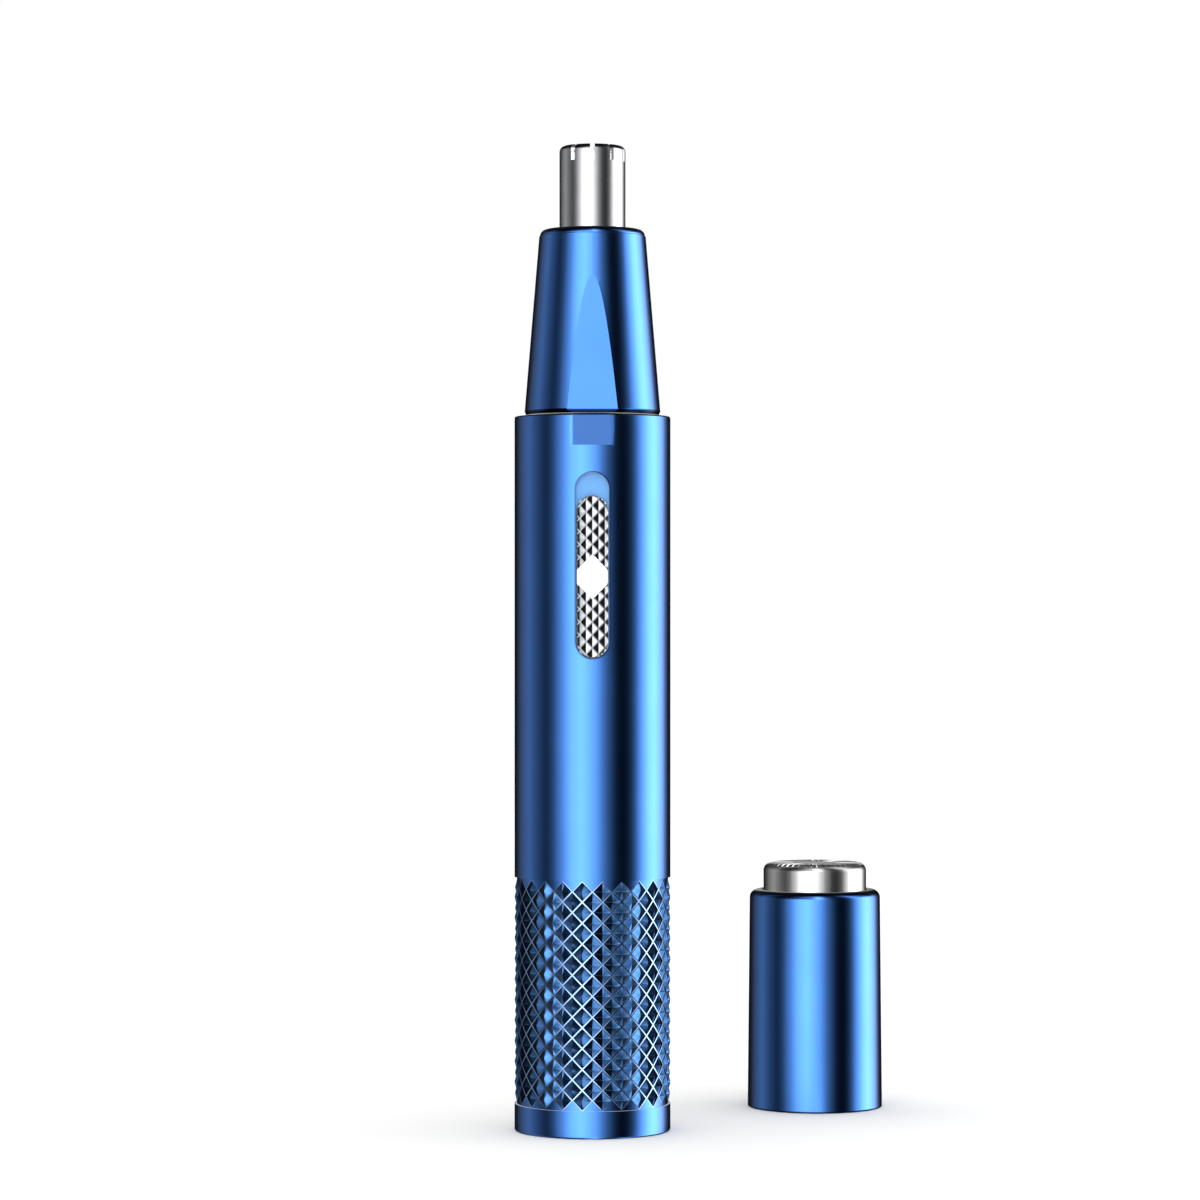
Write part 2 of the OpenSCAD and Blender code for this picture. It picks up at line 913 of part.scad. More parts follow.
module shaver_sleeve() {
    roof = sleeve_h - head_wall;
    color("royalblue")
        translate(shaver_at)
            difference() {
                rotate_extrude()
                    polygon(concat(
                        [[0, 0], [sleeve_r, 0]],
                        [
                            for (turn = [0 : 15 : 90])
                                [
                                    sleeve_top_r - sleeve_shoulder * (1 - cos(turn)),
                                    sleeve_h - sleeve_shoulder * (1 - sin(turn))
                                ]
                        ],
                        [[0, sleeve_h]]
                    ));
                translate([0, 0, -past])
                    rotate_extrude()
                        polygon([
                            [0, 0], [shell_in(sleeve_r, sleeve_top_r, sleeve_h, -past), 0],
                            [shell_in(sleeve_r, sleeve_top_r, sleeve_h, roof), roof + past], [0, roof + past]
                        ]);
                cylinder(r = foil_r + slip_gap, h = sleeve_h + past);
            }
}

// Moulded core: socket below, web with the bush's post, and the shelf for the foil cup
module shaver_liner() {
    top = sleeve_h - head_wall - slip_gap;
    foot_r = shell_in(sleeve_r, sleeve_top_r, sleeve_h, 0) - run_gap;
    top_r = shell_in(sleeve_r, sleeve_top_r, sleeve_h, top) - run_gap;
    color("midnightblue")
        translate(shaver_at)
            difference() {
                rotate_extrude()
                    polygon([[0, 0], [foot_r, 0], [top_r, top], [0, top]]);
                translate([0, 0, -past]) cylinder(r = socket_r, h = socket_depth + past);
                cylinder(r = web_hole_r, h = bush_z);
                cylinder(r = shaver_bush_r, h = post_top + past);
                difference() {
                    translate([0, 0, web_top]) cylinder(r = shelf_r, h = sleeve_h);
                    cylinder(r = post_r, h = post_top);
                }
                translate([0, 0, foil_z]) cylinder(r = foil_r, h = sleeve_h);
            }
}

// Steel cup with a ring of fine slits round its top edge
module shaver_foil_cup() {
    color("silver")
        translate(shaver_at)
            difference() {
                rotate_extrude()
                    polygon(concat(
                        [[foil_r - foil_wall, foil_z], [foil_r, foil_z]],
                        [
                            for (turn = [0 : 30 : 90])
                                [
                                    foil_r - foil_round * (1 - cos(turn)),
                                    foil_top - foil_round * (1 - sin(turn))
                                ]
                        ],
                        [
                            [0, foil_top], [0, foil_top - foil_wall],
                            [foil_r - foil_round, foil_top - foil_wall],
                            [foil_r - foil_wall, foil_top - foil_round]
                        ]
                    ));
                for (slit = [0 : foil_slits - 1])
                    rotate(360 * slit / foil_slits)
                        translate([foil_slit_in, -foil_slit_w / 2, foil_top - foil_slit_h])
                            cube([foil_r, foil_slit_w, foil_slit_h + past]);
            }
}

module shaver_bush() {
    color("peru")
        translate(shaver_at)
            ring(shaver_bush_r, spindle_r + run_gap, bush_z, post_top);
}

module shaver_spindle() {
    color("silver")
        translate(shaver_at)
            translate([0, 0, dog_z]) cylinder(r = spindle_r, h = holder_z + holder_h - dog_z);
}

module shaver_blade_holder() {
    color("dimgray") translate(shaver_at) ring(holder_r, spindle_r, holder_z, holder_z + holder_h);
}

// Small upright blades, slanted round the holder
module shaver_blades() {
    color("gainsboro")
        translate(shaver_at)
            for (blade = [0 : shaver_blade_n - 1])
                rotate(360 * blade / shaver_blade_n)
                    translate([shaver_blade_in, -shaver_blade_t / 2, holder_z + holder_h])
                        cube([
                            shaver_blade_out - shaver_blade_in, shaver_blade_t,
                            shaver_blade_top - holder_z - holder_h
                        ]);
}

module shaver_spring() {
    color("silver")
        translate(shaver_at)
            spring(spring_r, post_top + slip_gap, holder_z, 5);
}

module shaver_dog() {
    translate(shaver_at) drive_dog();
}

body_tube();
switch_track();
end_cap();
end_cap_screws();
end_cap_seal();
usb_port_shell();
usb_port_tongue();
charge_light_pipe();
charge_led();
circuit_board();
board_chips();
switch_contacts();
battery_cell();
battery_tabs();
chassis_front();
chassis_rear();
chassis_screws();
motor_can();
motor_end_bell();
motor_magnets();
motor_brushes();
motor_leads();
head_spigot();
spigot_seal();
shaft_seal();
motor_shaft();
motor_armature();
motor_windings();
motor_commutator();
drive_coupler();
switch_button();
switch_carrier();
switch_wiper();
nose_cone();
nose_liner();
cutter_tube();
nose_bush();
nose_spindle();
nose_blade();
nose_spring();
nose_dog();
shaver_sleeve();
shaver_liner();
shaver_foil_cup();
shaver_bush();
shaver_spindle();
shaver_blade_holder();
shaver_blades();
shaver_spring();
shaver_dog();
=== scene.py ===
# %% [markdown]
# # Dressing a nose hair trimmer
# The engineering model already gives every part its place and its motion. This lesson makes the metal
# skins that the eye meets: a turned handle with a diamond knurl, a thumb switch, a faceted cone, a slotted
# steel tip and a foil shaver head. It starts by loading that model as a fixed frame.

import math

import bmesh
import bpy
import numpy as np
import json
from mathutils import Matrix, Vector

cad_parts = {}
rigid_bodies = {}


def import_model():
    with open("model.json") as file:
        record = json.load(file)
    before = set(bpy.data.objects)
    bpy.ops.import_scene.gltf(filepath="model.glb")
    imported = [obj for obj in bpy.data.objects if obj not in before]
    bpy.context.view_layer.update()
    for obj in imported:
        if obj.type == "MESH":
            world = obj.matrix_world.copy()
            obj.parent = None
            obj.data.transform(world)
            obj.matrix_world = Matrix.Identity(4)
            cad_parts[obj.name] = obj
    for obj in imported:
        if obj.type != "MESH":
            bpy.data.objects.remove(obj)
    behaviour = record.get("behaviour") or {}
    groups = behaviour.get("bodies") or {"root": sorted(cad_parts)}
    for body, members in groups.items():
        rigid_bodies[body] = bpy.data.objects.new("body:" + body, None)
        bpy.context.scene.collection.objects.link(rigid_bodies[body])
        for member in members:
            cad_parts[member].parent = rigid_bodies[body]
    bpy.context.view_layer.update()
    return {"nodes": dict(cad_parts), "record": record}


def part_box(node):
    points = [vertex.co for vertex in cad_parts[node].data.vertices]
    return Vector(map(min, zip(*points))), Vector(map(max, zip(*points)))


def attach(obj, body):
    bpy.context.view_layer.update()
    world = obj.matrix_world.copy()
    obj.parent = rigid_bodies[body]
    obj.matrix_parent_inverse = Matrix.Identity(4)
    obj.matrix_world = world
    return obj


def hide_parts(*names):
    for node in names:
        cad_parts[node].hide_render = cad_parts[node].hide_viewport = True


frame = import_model()
nodes = frame["nodes"]

# %% [markdown]
# All lengths below are in millimetres and are turned into metres once, when a mesh is made. The main sizes
# are read from the frame, so that each skin fits the part that it covers.

# %% Read the main sizes from the frame
MM = 0.001


def box_mm(node):
    """Lowest and highest corners of a node, in millimetres."""
    low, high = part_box(node)
    return np.array(low) / MM, np.array(high) / MM


tube_high = box_mm("body_tube")[1]
BODY_R = tube_high[0]
BODY_H = tube_high[2]
BORE_R = 9.6
cone_low, cone_high = box_mm("nose_cone")
tip_low, tip_high = box_mm("cutter_tube")
button_low, button_high = box_mm("switch_button")
sleeve_low, sleeve_high = box_mm("shaver_sleeve")
foil_low, foil_high = box_mm("shaver_foil_cup")
SPARE_AT = np.array([(sleeve_low[0] + sleeve_high[0]) / 2, (sleeve_low[1] + sleeve_high[1]) / 2, 0.0])
print("handle radius", round(BODY_R, 2), "height", round(BODY_H, 2), "spare head at", SPARE_AT.round(2))

# %% [markdown]
# ## From arrays to closed meshes
# Each skin is made of patches. A patch is a grid of points, worked out as one array, with a quad between
# every four neighbours. Several patches are joined by merging the points that they share, which closes the
# seams and the poles. Solidify or a subdivision cage could do the same, but grids keep every edge exactly
# where the formula puts it. Edges sharper than a given angle are marked, so that a knurl stays crisp
# while the tube beside it shades as round.

# %% Patches and pieces


def grid(points, wrap=False):
    """Points and quads of a grid (rows, columns, 3); wrap joins the last column to the first."""
    rows, columns = points.shape[:2]
    index = np.arange(rows * columns).reshape(rows, columns)
    if wrap:
        index = np.hstack([index, index[:, :1]])
    quads = np.stack([index[:-1, :-1], index[:-1, 1:], index[1:, 1:], index[1:, :-1]], axis=-1)
    return points.reshape(-1, 3), quads.reshape(-1, 4)


def make_piece(name, patches, body, node, sharp=32, at=(0, 0, 0)):
    """Joins patches into one closed mesh that stands for a node and rides on its body."""
    starts = np.cumsum([0] + [len(points) for points, quads in patches])
    points = (np.vstack([points for points, quads in patches]) + np.array(at)) * MM
    quads = np.vstack([quads + start for (points, quads), start in zip(patches, starts)])
    mesh = bpy.data.meshes.new(name)
    mesh.from_pydata(points.tolist(), [], quads.tolist())
    tidy = bmesh.new()
    tidy.from_mesh(mesh)
    bmesh.ops.remove_doubles(tidy, verts=tidy.verts, dist=0.002 * MM)
    bmesh.ops.dissolve_degenerate(tidy, edges=tidy.edges, dist=0.0005 * MM)
    bmesh.ops.recalc_face_normals(tidy, faces=tidy.faces)
    open_edges = sum(1 for edge in tidy.edges if not edge.is_manifold)
    volume = tidy.calc_volume() / MM**3
    tidy.to_mesh(mesh)
    tidy.free()
    mesh.shade_smooth()
    mesh.set_sharp_from_angle(angle=math.radians(sharp))
    piece = bpy.data.objects.new(name, mesh)
    bpy.context.scene.collection.objects.link(piece)
    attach(piece, body)
    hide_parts(node)
    print(name, "faces", len(mesh.polygons), "open edges", open_edges, "volume mm3", round(volume, 1))
    return piece


# %% [markdown]
# Most of the parts are turned on a lathe. Their points are given by an angle, a radius and a height. The
# angle is counted from the front, which faces -Y, towards the right.

# %% Round things


def around(angle, radius, height):
    """Point at a radius and a height, turned by an angle in degrees from the front."""
    turn = np.radians(angle)
    return np.stack(np.broadcast_arrays(radius * np.sin(turn), -radius * np.cos(turn), height), axis=-1)


def arc(centre, radius, start, end, steps=6):
    """Points of a round edge in a profile: centre plus radius times (cos, sin), start to end in degrees."""
    turn = np.radians(np.linspace(start, end, steps + 1))
    return np.stack([centre[0] + radius * np.cos(turn), centre[1] + radius * np.sin(turn)], axis=-1)


def revolve(profile, angle):
    """A profile of (radius, height) points carried round the axis, with a column at each angle."""
    profile = np.asarray(profile, dtype=float)
    return grid(around(angle[None, :], profile[:, :1], profile[:, 1:]), wrap=True)


def even_turn(columns):
    """Angles of evenly spread columns."""
    return np.arange(columns) * 360 / columns


# %% [markdown]
# ## The knurl
# The grip of the handle is cut by two sets of crossing grooves, which leave rows of four-sided pyramids.
# A bump map alone would flatten at the outline, so every pyramid is real. One cell is described in its
# own units: u runs half a cell to each side, v half a cell up and down, and its outline is where
# |u| + |v| = 1. Rings of that outline, drawn in towards the middle, carry the flat land between
# pyramids, the sloping facets and a blunted tip. The cells lie in 24 full columns and 24 columns set half
# a cell lower, whose end cells are plain half diamonds at the level of the lands. Neighbours share
# outlines, so the sheet closes by itself.

# %% One pyramid and the sheet of them
CELL_TURN = 7.5
CELL_SPLIT = 4
CELL_ROWS = 11
KNURL_LOW, KNURL_HIGH = 3.88, 36.06
CELL_H = (KNURL_HIGH - KNURL_LOW) / CELL_ROWS
KNURL_DEPTH = 0.32
LAND_EDGE = 0.905
turns = np.arange(24) * 2 * CELL_TURN


def diamond(*corners):
    """Points along the sides of a diamond through the given corners, CELL_SPLIT steps to a side."""
    corners = np.array(corners, dtype=float)
    step = np.arange(CELL_SPLIT)[:, None] / CELL_SPLIT
    sides = corners[:-1, None] * (1 - step) + corners[1:, None] * step
    return np.vstack([sides.reshape(-1, 2), corners[-1:]])


def cells(centre, outline, scale, depth):
    """For each centre, rings of the outline times a scale, sunk by a depth below the tube's skin."""
    scale, depth = np.array(scale)[None, :, None], np.array(depth)[None, :, None]
    angle = centre[:, None, None, 0] + CELL_TURN * outline[None, None, :, 0] * scale
    height = centre[:, None, None, 1] + CELL_H / 2 * outline[None, None, :, 1] * scale
    points = around(angle, BODY_R - depth, height)
    index = np.arange(points[..., 0].size).reshape(points.shape[:3])
    quads = np.stack([index[:, :-1, :-1], index[:, :-1, 1:], index[:, 1:, 1:], index[:, 1:, :-1]], axis=-1)
    return points.reshape(-1, 3), quads.reshape(-1, 4)


def knurl_patches():
    """Full pyramids of both sets of columns, and the plain half diamonds at the two borders."""
    tall = np.stack(np.meshgrid(turns + CELL_TURN, np.arange(CELL_ROWS) + 0.5), axis=-1).reshape(-1, 2)
    short = np.stack(np.meshgrid(turns, np.arange(CELL_ROWS - 1) + 1.0), axis=-1).reshape(-1, 2)
    full = np.vstack([tall, short]) * [1, CELL_H] + [0, KNURL_LOW]
    low = np.stack([turns, np.full(24, KNURL_LOW)], axis=-1)
    high = np.stack([turns, np.full(24, KNURL_HIGH)], axis=-1)
    pyramid, sunk = [1, LAND_EDGE, 0.05, 0], [KNURL_DEPTH, KNURL_DEPTH, 0.012, 0]
    plain = [1, 0.75, 0.5, 0.25, 0]
    return [
        cells(full, diamond((1, 0), (0, 1), (-1, 0), (0, -1), (1, 0)), pyramid, sunk),
        cells(low, diamond((1, 0), (0, 1), (-1, 0)), plain, [KNURL_DEPTH] * 5),
        cells(high, diamond((-1, 0), (0, -1), (1, 0)), plain, [KNURL_DEPTH] * 5),
    ]


print("pyramids", 24 * (2 * CELL_ROWS - 1), "cell", round(CELL_H, 3), "mm high")

# %% [markdown]
# ## The handle's tube
# The real tube is one drawn and turned pipe with a pill-shaped window for the switch. A boolean would cut
# the window but leave ragged shading. Here the skin is laid round the window instead: each point of
# a rectangle about it is joined to the nearest point of the pill, and rings between the two carry the
# surface from one to the other. The same is done on the bore, and a short wall joins the two outlines.

# %% Window in the tube
SLOT_W = 4.8
SLOT_LOW, SLOT_HIGH = BODY_H - 8.2 - 26.1, BODY_H - 8.2
RIM = 0.12
WINDOW_COLUMNS = 10
WINDOW_ROWS = 64
WINDOW_MARGIN = 2.5
column_angle = np.arange(48 * CELL_SPLIT) * CELL_TURN / CELL_SPLIT
window_angle = np.concatenate([column_angle[-WINDOW_COLUMNS:] - 360, column_angle[:WINDOW_COLUMNS + 1]])
window_z = np.linspace(SLOT_LOW - WINDOW_MARGIN, SLOT_HIGH + WINDOW_MARGIN, WINDOW_ROWS + 1)


def window_border(radius):
    """Rectangle round the window as (x, z) points, anticlockwise from its lower left corner."""
    x = radius * np.sin(np.radians(window_angle))
    z = window_z
    low = np.stack([x[:-1], np.full(len(x) - 1, z[0])], axis=-1)
    right = np.stack([np.full(len(z) - 1, x[-1]), z[:-1]], axis=-1)
    high = np.stack([x[:0:-1], np.full(len(x) - 1, z[-1])], axis=-1)
    left = np.stack([np.full(len(z) - 1, x[0]), z[:0:-1]], axis=-1)
    return np.vstack([low, right, high, left])


def pill_border(width):
    """Point of the pill outline nearest to each border point: out from its spine by half the width."""
    border = window_border(BODY_R)
    spine_height = np.clip(border[:, 1], SLOT_LOW + SLOT_W / 2, SLOT_HIGH - SLOT_W / 2)
    spine = np.stack([np.zeros(len(border)), spine_height], -1)
    away = border - spine
    return spine + away * (width / 2) / np.linalg.norm(away, axis=1, keepdims=True)


def on_tube(flat, radius):
    """Points given as (x, z), set on the front of a tube: y is minus the root of r squared less x squared."""
    return np.stack([flat[..., 0], -np.sqrt(radius**2 - flat[..., 0] ** 2), flat[..., 1]], axis=-1)


def window_patch(radius, width, steps=6):
    """Rings from the rectangle to the pill, spaced evenly between the two."""
    part = np.linspace(0, 1, steps + 1)[:, None, None]
    flat = window_border(radius)[None] * (1 - part) + pill_border(width)[None] * part
    return grid(on_tube(flat, radius), wrap=True)


print("window", SLOT_W, "by", round(SLOT_HIGH - SLOT_LOW, 2), "border points", len(window_border(BODY_R)))

# %% [markdown]
# The rest of the skin is bands of the tube between known heights. Near the top the front is milled flat:
# any point that would stand ahead of the flat is set back on to it, and the columns beside it are nudged
# so that one of them runs exactly down its edge.

# %% Bands of the tube
FLAT_W, FLAT_H = 5.9, 4.4
FLAT_Y = math.sqrt(BODY_R**2 - FLAT_W**2 / 4)
FLAT_EDGE = math.degrees(math.asin(FLAT_W / 2 / BODY_R))
EDGE = 0.3


def flat_columns():
    """Column angles, eased near the front so that two of them lie on the flat's edges."""
    signed = (column_angle + 180) % 360 - 180
    near, far = 2 * CELL_TURN, 3.5 * CELL_TURN
    return np.sign(signed) * np.interp(np.abs(signed), [0, near, far, 180], [0, FLAT_EDGE, far, 180])


def handle_top():
    """Rows above the window: plain tube, then the step on to the flat, the rounded rim and the bore."""
    rim = arc((BODY_R - EDGE, BODY_H - EDGE), EDGE, 0, 90, 4)
    plain = np.array([[BODY_R, window_z[-1]], [BODY_R, BODY_H - FLAT_H - 0.3], [BODY_R, BODY_H - FLAT_H]])
    milled = np.vstack([
        [[BODY_R, BODY_H - FLAT_H]], [[BODY_R, BODY_H - FLAT_H / 2]], rim, [[BORE_R, BODY_H]]])
    profile = np.vstack([plain, milled])
    points = around(flat_columns()[None], profile[:, :1], profile[:, 1:])
    points[len(plain):, :, 1] = np.maximum(points[len(plain):, :, 1], -FLAT_Y)
    points[0] = around(column_angle, BODY_R, window_z[-1])
    points[-1] = around(column_angle, BORE_R, BODY_H)
    return grid(points, wrap=True)


def band(low, high, steps):
    """Grid between two closed rows of points, by straight lines in equal steps."""
    part = np.linspace(0, 1, steps + 1)[:, None, None]
    return grid(low[None] * (1 - part) + high[None] * part, wrap=True)


def handle_patches():
    """All patches of the tube, from its foot up and back down the bore."""
    ring = lambda radius, height: around(column_angle, radius, height)
    land = BODY_R - KNURL_DEPTH
    foot = arc((BODY_R - EDGE, EDGE), EDGE, -90, 0, 4)
    side = column_angle[WINDOW_COLUMNS:len(column_angle) - WINDOW_COLUMNS + 1]
    outer_pill = on_tube(pill_border(SLOT_W + 2 * RIM), BODY_R)
    wall_pill = on_tube(pill_border(SLOT_W), BODY_R - RIM)
    bore_pill = on_tube(pill_border(SLOT_W), BORE_R)
    return [
        revolve(np.vstack([[[BORE_R, 0]], foot]), column_angle),
        band(ring(BODY_R, EDGE), ring(BODY_R, KNURL_LOW), 3),
        band(ring(BODY_R, KNURL_LOW), ring(land, KNURL_LOW), 1),
        *knurl_patches(),
        band(ring(land, KNURL_HIGH), ring(BODY_R, KNURL_HIGH), 1),
        band(ring(BODY_R, KNURL_HIGH), ring(BODY_R, window_z[0]), 8),
        grid(around(side[None], BODY_R, window_z[:, None])),
        window_patch(BODY_R, SLOT_W + 2 * RIM),
        grid(np.stack([outer_pill, wall_pill, bore_pill]), wrap=True),
        window_patch(BORE_R, SLOT_W),
        grid(around(side[None], BORE_R, window_z[:, None])),
        handle_top(),
        band(ring(BORE_R, window_z[-1]), ring(BORE_R, BODY_H), 1),
        band(ring(BORE_R, 0), ring(BORE_R, window_z[0]), 1),
    ]


handle_skin = make_piece("handle_skin", handle_patches(), "handle", "body_tube", sharp=20)

# %% [markdown]
# ## The thumb switch
# The switch is a pressed metal pill with a finer and steeper knurl, and a plain flat rhombus in the middle
# where the thumb pushes. A fine grid over the pill carries a height. Two skewed counters, s and t, grow
# along the diagonals, and the distance to the nearest whole value of each makes a pyramid, with no
# loop over cells. The grid's steps divide a cell exactly, and each square is split along the diagonal
# that its facet needs, so every crease is a true line.

# %% Height of the switch's face
SWITCH_R = button_high[0]
SWITCH_FACE = -button_low[1]
SWITCH_BACK = -button_high[1]
SWITCH_MID = (button_low[2] + button_high[2]) / 2
SWITCH_LOW, SWITCH_HIGH = button_low[2], button_high[2]
TOOTH_W, TOOTH_H, TOOTH_DEPTH = 1.76, 1.81, 0.53
TOOTH_STEPS = 24
TOOTH_GROOVE = 2 / TOOTH_STEPS
PAD_REACH = 1.75
PAD_Y = 11.16
SWITCH_ROUNDING = 0.16


def switch_relief(x, z):
    """Depth below the face: a pyramid in each cell, with a flat groove between cells, and a flat pad."""
    first, second = x / TOOTH_W + z / TOOTH_H, x / TOOTH_W - z / TOOTH_H
    from_middle = 2 * np.maximum(np.abs(first - np.round(first)), np.abs(second - np.round(second)))
    pyramid = TOOTH_DEPTH * np.clip(from_middle / (1 - TOOTH_GROOVE), 0.05, 1)
    on_pad = np.maximum(np.abs(first), np.abs(second)) < PAD_REACH + 0.01
    return np.where(on_pad, np.sqrt(SWITCH_FACE**2 - x**2) - PAD_Y, pyramid)


def split_squares(points, x, z):
    """Triangles of a grid: a square is cut along the falling diagonal if |s| leads, the rising one if |t|."""
    points, quads = grid(points)
    first, second = x / TOOTH_W + z / TOOTH_H, x / TOOTH_W - z / TOOTH_H
    middle = lambda value: ((value[:-1, :-1] + value[1:, 1:]) / 2).ravel()
    first, second = middle(first), middle(second)
    falling = np.abs(first - np.round(first)) > np.abs(second - np.round(second))
    one = np.where(falling[:, None], quads[:, [0, 1, 3]], quads[:, [0, 1, 2]])
    two = np.where(falling[:, None], quads[:, [1, 2, 3]], quads[:, [0, 2, 3]])
    return points, np.vstack([one, two])


def switch_patches():
    """Face of the pill with its relief and rounded edge, then the side wall and the flat back."""
    column = np.arange(-30, 31) * TOOTH_W / TOOTH_STEPS
    column = np.concatenate([[-SWITCH_R], column, [SWITCH_R]])
    reach = (SWITCH_HIGH - SWITCH_LOW) / 2
    level = np.arange(-151, 152) * TOOTH_H / TOOTH_STEPS
    level = level[np.abs(level) < reach - 0.02]
    ends = reach - SWITCH_R * (1 - np.sin(np.radians([90, 86, 82, 78, 74, 71])))
    level = np.unique(np.concatenate([level, ends, -ends]).round(4))
    spine = np.clip(level, SWITCH_R - reach, reach - SWITCH_R)
    half = np.sqrt(np.maximum(SWITCH_R**2 - (level - spine) ** 2, 0))
    half[[0, -1]] = 0
    x = np.clip(column[None], -half[:, None], half[:, None])
    z = np.broadcast_to(level[:, None], x.shape)
    to_edge = SWITCH_R - np.hypot(x, z - spine[:, None])
    sunk_edge = SWITCH_ROUNDING - np.clip(to_edge, 0, SWITCH_ROUNDING)
    rounding = SWITCH_ROUNDING - np.sqrt(SWITCH_ROUNDING**2 - sunk_edge**2)
    y = -np.sqrt(SWITCH_FACE**2 - x**2) + switch_relief(x, z) + rounding
    face = np.stack([x, y, z + SWITCH_MID], axis=-1)
    back = face * [1, 0, 1] + [0, -SWITCH_BACK, 0]
    border = np.concatenate([face[:, -1], face[::-1, 0]])
    wall = np.stack([border, border * [1, 0, 1] + [0, -SWITCH_BACK, 0]])
    return [split_squares(face, x, z), triangles(grid(wall, wrap=True)), triangles(grid(back))]


def triangles(patch):
    """The same patch with every quad cut in two."""
    points, quads = patch
    return points, np.vstack([quads[:, [0, 1, 2]], quads[:, [0, 2, 3]]])


switch_skin = make_piece("switch_skin", switch_patches(), "switch", "switch_button", sharp=12)

# %% [markdown]
# ## The nose head
# The cone is turned, then one flat is milled down its front, which leaves a tall tongue-shaped facet. On
# each level the facet reaches as far round as the angle whose cosine is the facet's distance over the
# cone's radius. Columns are shared out between the facet and the rest of the circle by that angle, so
# the facet's curved edge is a true line of the mesh and not a row of steps.

# %% Faceted cone
CONE_FOOT, CONE_TOP = cone_low[2], cone_high[2]
CONE_FOOT_R, CONE_TOP_R = 9.7, 7.5
FACET_BASE, FACET_LEAN = 9.0, math.tan(math.radians(2.7))
CONE_HOLE_R = 5.1
CONE_WALL = 1.2


def cone_radius(height):
    """Straight taper from the foot to the top, by height above the foot."""
    return CONE_FOOT_R + (CONE_TOP_R - CONE_FOOT_R) * height / (CONE_TOP - CONE_FOOT)


def cone_profile():
    """Chamfered foot, taper, rounded shoulder, hole and the inside, as (radius, height above the foot)."""
    height = CONE_TOP - CONE_FOOT
    taper = np.linspace(0.62, height - 1, 56)
    foot = np.array([[CONE_FOOT_R - 0.27, 0], [CONE_FOOT_R - 0.13, 0.28], [CONE_FOOT_R - 0.02, 0.54]])
    outside = np.vstack([
        foot, np.stack([cone_radius(taper), taper], -1), arc((CONE_TOP_R - 1, height - 1), 1, 4, 90, 8)])
    lip = arc((CONE_HOLE_R + 0.15, height - 0.15), 0.15, 90, 180, 3)
    roof = height - CONE_WALL
    inside = np.array([
        [CONE_HOLE_R, roof], [cone_radius(roof) - CONE_WALL, roof], [CONE_FOOT_R - CONE_WALL, 0]])
    return np.vstack([outside, lip, inside, foot[:1]])


def cone_patches():
    """The profile carried round, with the columns spread by the facet's half angle and set back on to it."""
    profile = cone_profile()
    radius, height = profile[:, :1], profile[:, 1:]
    facet_y = FACET_BASE - FACET_LEAN * height
    reach = np.degrees(np.arccos(np.clip(facet_y / np.maximum(radius, 0.1), -1, 1)))
    reach = np.where(radius > 7.0, np.maximum(reach, 0.01), 22.0)
    share = np.concatenate([np.linspace(0, 1, 13), np.linspace(1, 2, 9)[1:], np.linspace(2, 3, 73)[1:]])
    stops = np.concatenate(
        [np.zeros_like(reach), reach, np.full_like(reach, 34.0), np.full_like(reach, 180.0)], axis=1)
    whole = np.floor(np.minimum(share, 2.999)).astype(int)
    angle = stops[:, whole] + (stops[:, whole + 1] - stops[:, whole]) * (share - whole)
    angle = np.concatenate([-angle[:, :0:-1], angle[:, :-1]], axis=1)
    points = around(angle, radius, height)
    points[..., 1] = np.maximum(points[..., 1], -np.broadcast_to(facet_y, angle.shape))
    return [grid(points, wrap=True)]


cone_skin = make_piece(
    "nose_cone_skin", cone_patches(), "nose_head", "nose_cone", sharp=7, at=(0, 0, CONE_FOOT))

# %% [markdown]
# ## Slotted steel
# The cutting tip is a drawn steel tube, closed at the top and cut by ten narrow slots that run over its
# rounded rim. The foil head uses the same idea with many finer slits. One function makes both: below the
# slots the walls go all the way round, and above them only the bars between slots remain. A slot has the
# same width everywhere, so its edge lies at the angle whose sine is half that width over the radius.

# %% Slotted cup


def slot_columns(radius, count, width, bar_steps, gap_steps=2):
    """Angles round the cup at each radius: for every slot, its gap and then the bar up to the next one."""
    edge = np.degrees(np.arcsin(np.minimum(width / 2 / np.maximum(radius, width), 0.999)))[:, None, None]
    slot = np.arange(count)[None, :, None] * 360 / count
    gap = slot + edge * np.linspace(-1, 1, gap_steps + 1)[None, None, :-1]
    bar = slot + edge + (360 / count - 2 * edge) * np.linspace(0, 1, bar_steps + 1)[None, None, :-1]
    return np.concatenate([gap, bar], axis=2)


def slotted_cup(outer, inner, first, last, count, width, bar_steps, twist=0.0):
    """Cup between an outer and an inner profile of equal length, slotted between two of their rows."""
    gap_steps = 2
    patches = []
    both = []
    for profile in (np.asarray(outer, float), np.asarray(inner, float)):
        columns = slot_columns(profile[:, 0], count, width, bar_steps) + twist
        points = around(columns, profile[:, :1, None], profile[:, 1:, None])
        both.append(points)
        flat = points.reshape(len(profile), -1, 3)
        patches.append(grid(flat[: first + 1], wrap=True))
        patches.append(grid(flat[last:], wrap=True))
        bar_first = gap_steps
        bars = np.concatenate(
            [points, np.roll(points[:, :, :1], -1, axis=1)], axis=2)[first:last + 1, :, bar_first:]
        patches.extend(grid(bars[:, number]) for number in range(count))
    outside, inside = both
    for column in (0, gap_steps):
        for number in range(count):
            cheek = np.stack([
                outside[first:last + 1, number, column], inside[first:last + 1, number, column]])
            patches.append(grid(cheek))
    for row in (first, last):
        for number in range(count):
            floor = np.stack([outside[row, number, : gap_steps + 1], inside[row, number, : gap_steps + 1]])
            patches.append(grid(floor))
    rim = np.stack([outside[0].reshape(-1, 3), inside[0].reshape(-1, 3)])
    patches.append(grid(rim, wrap=True))
    return patches


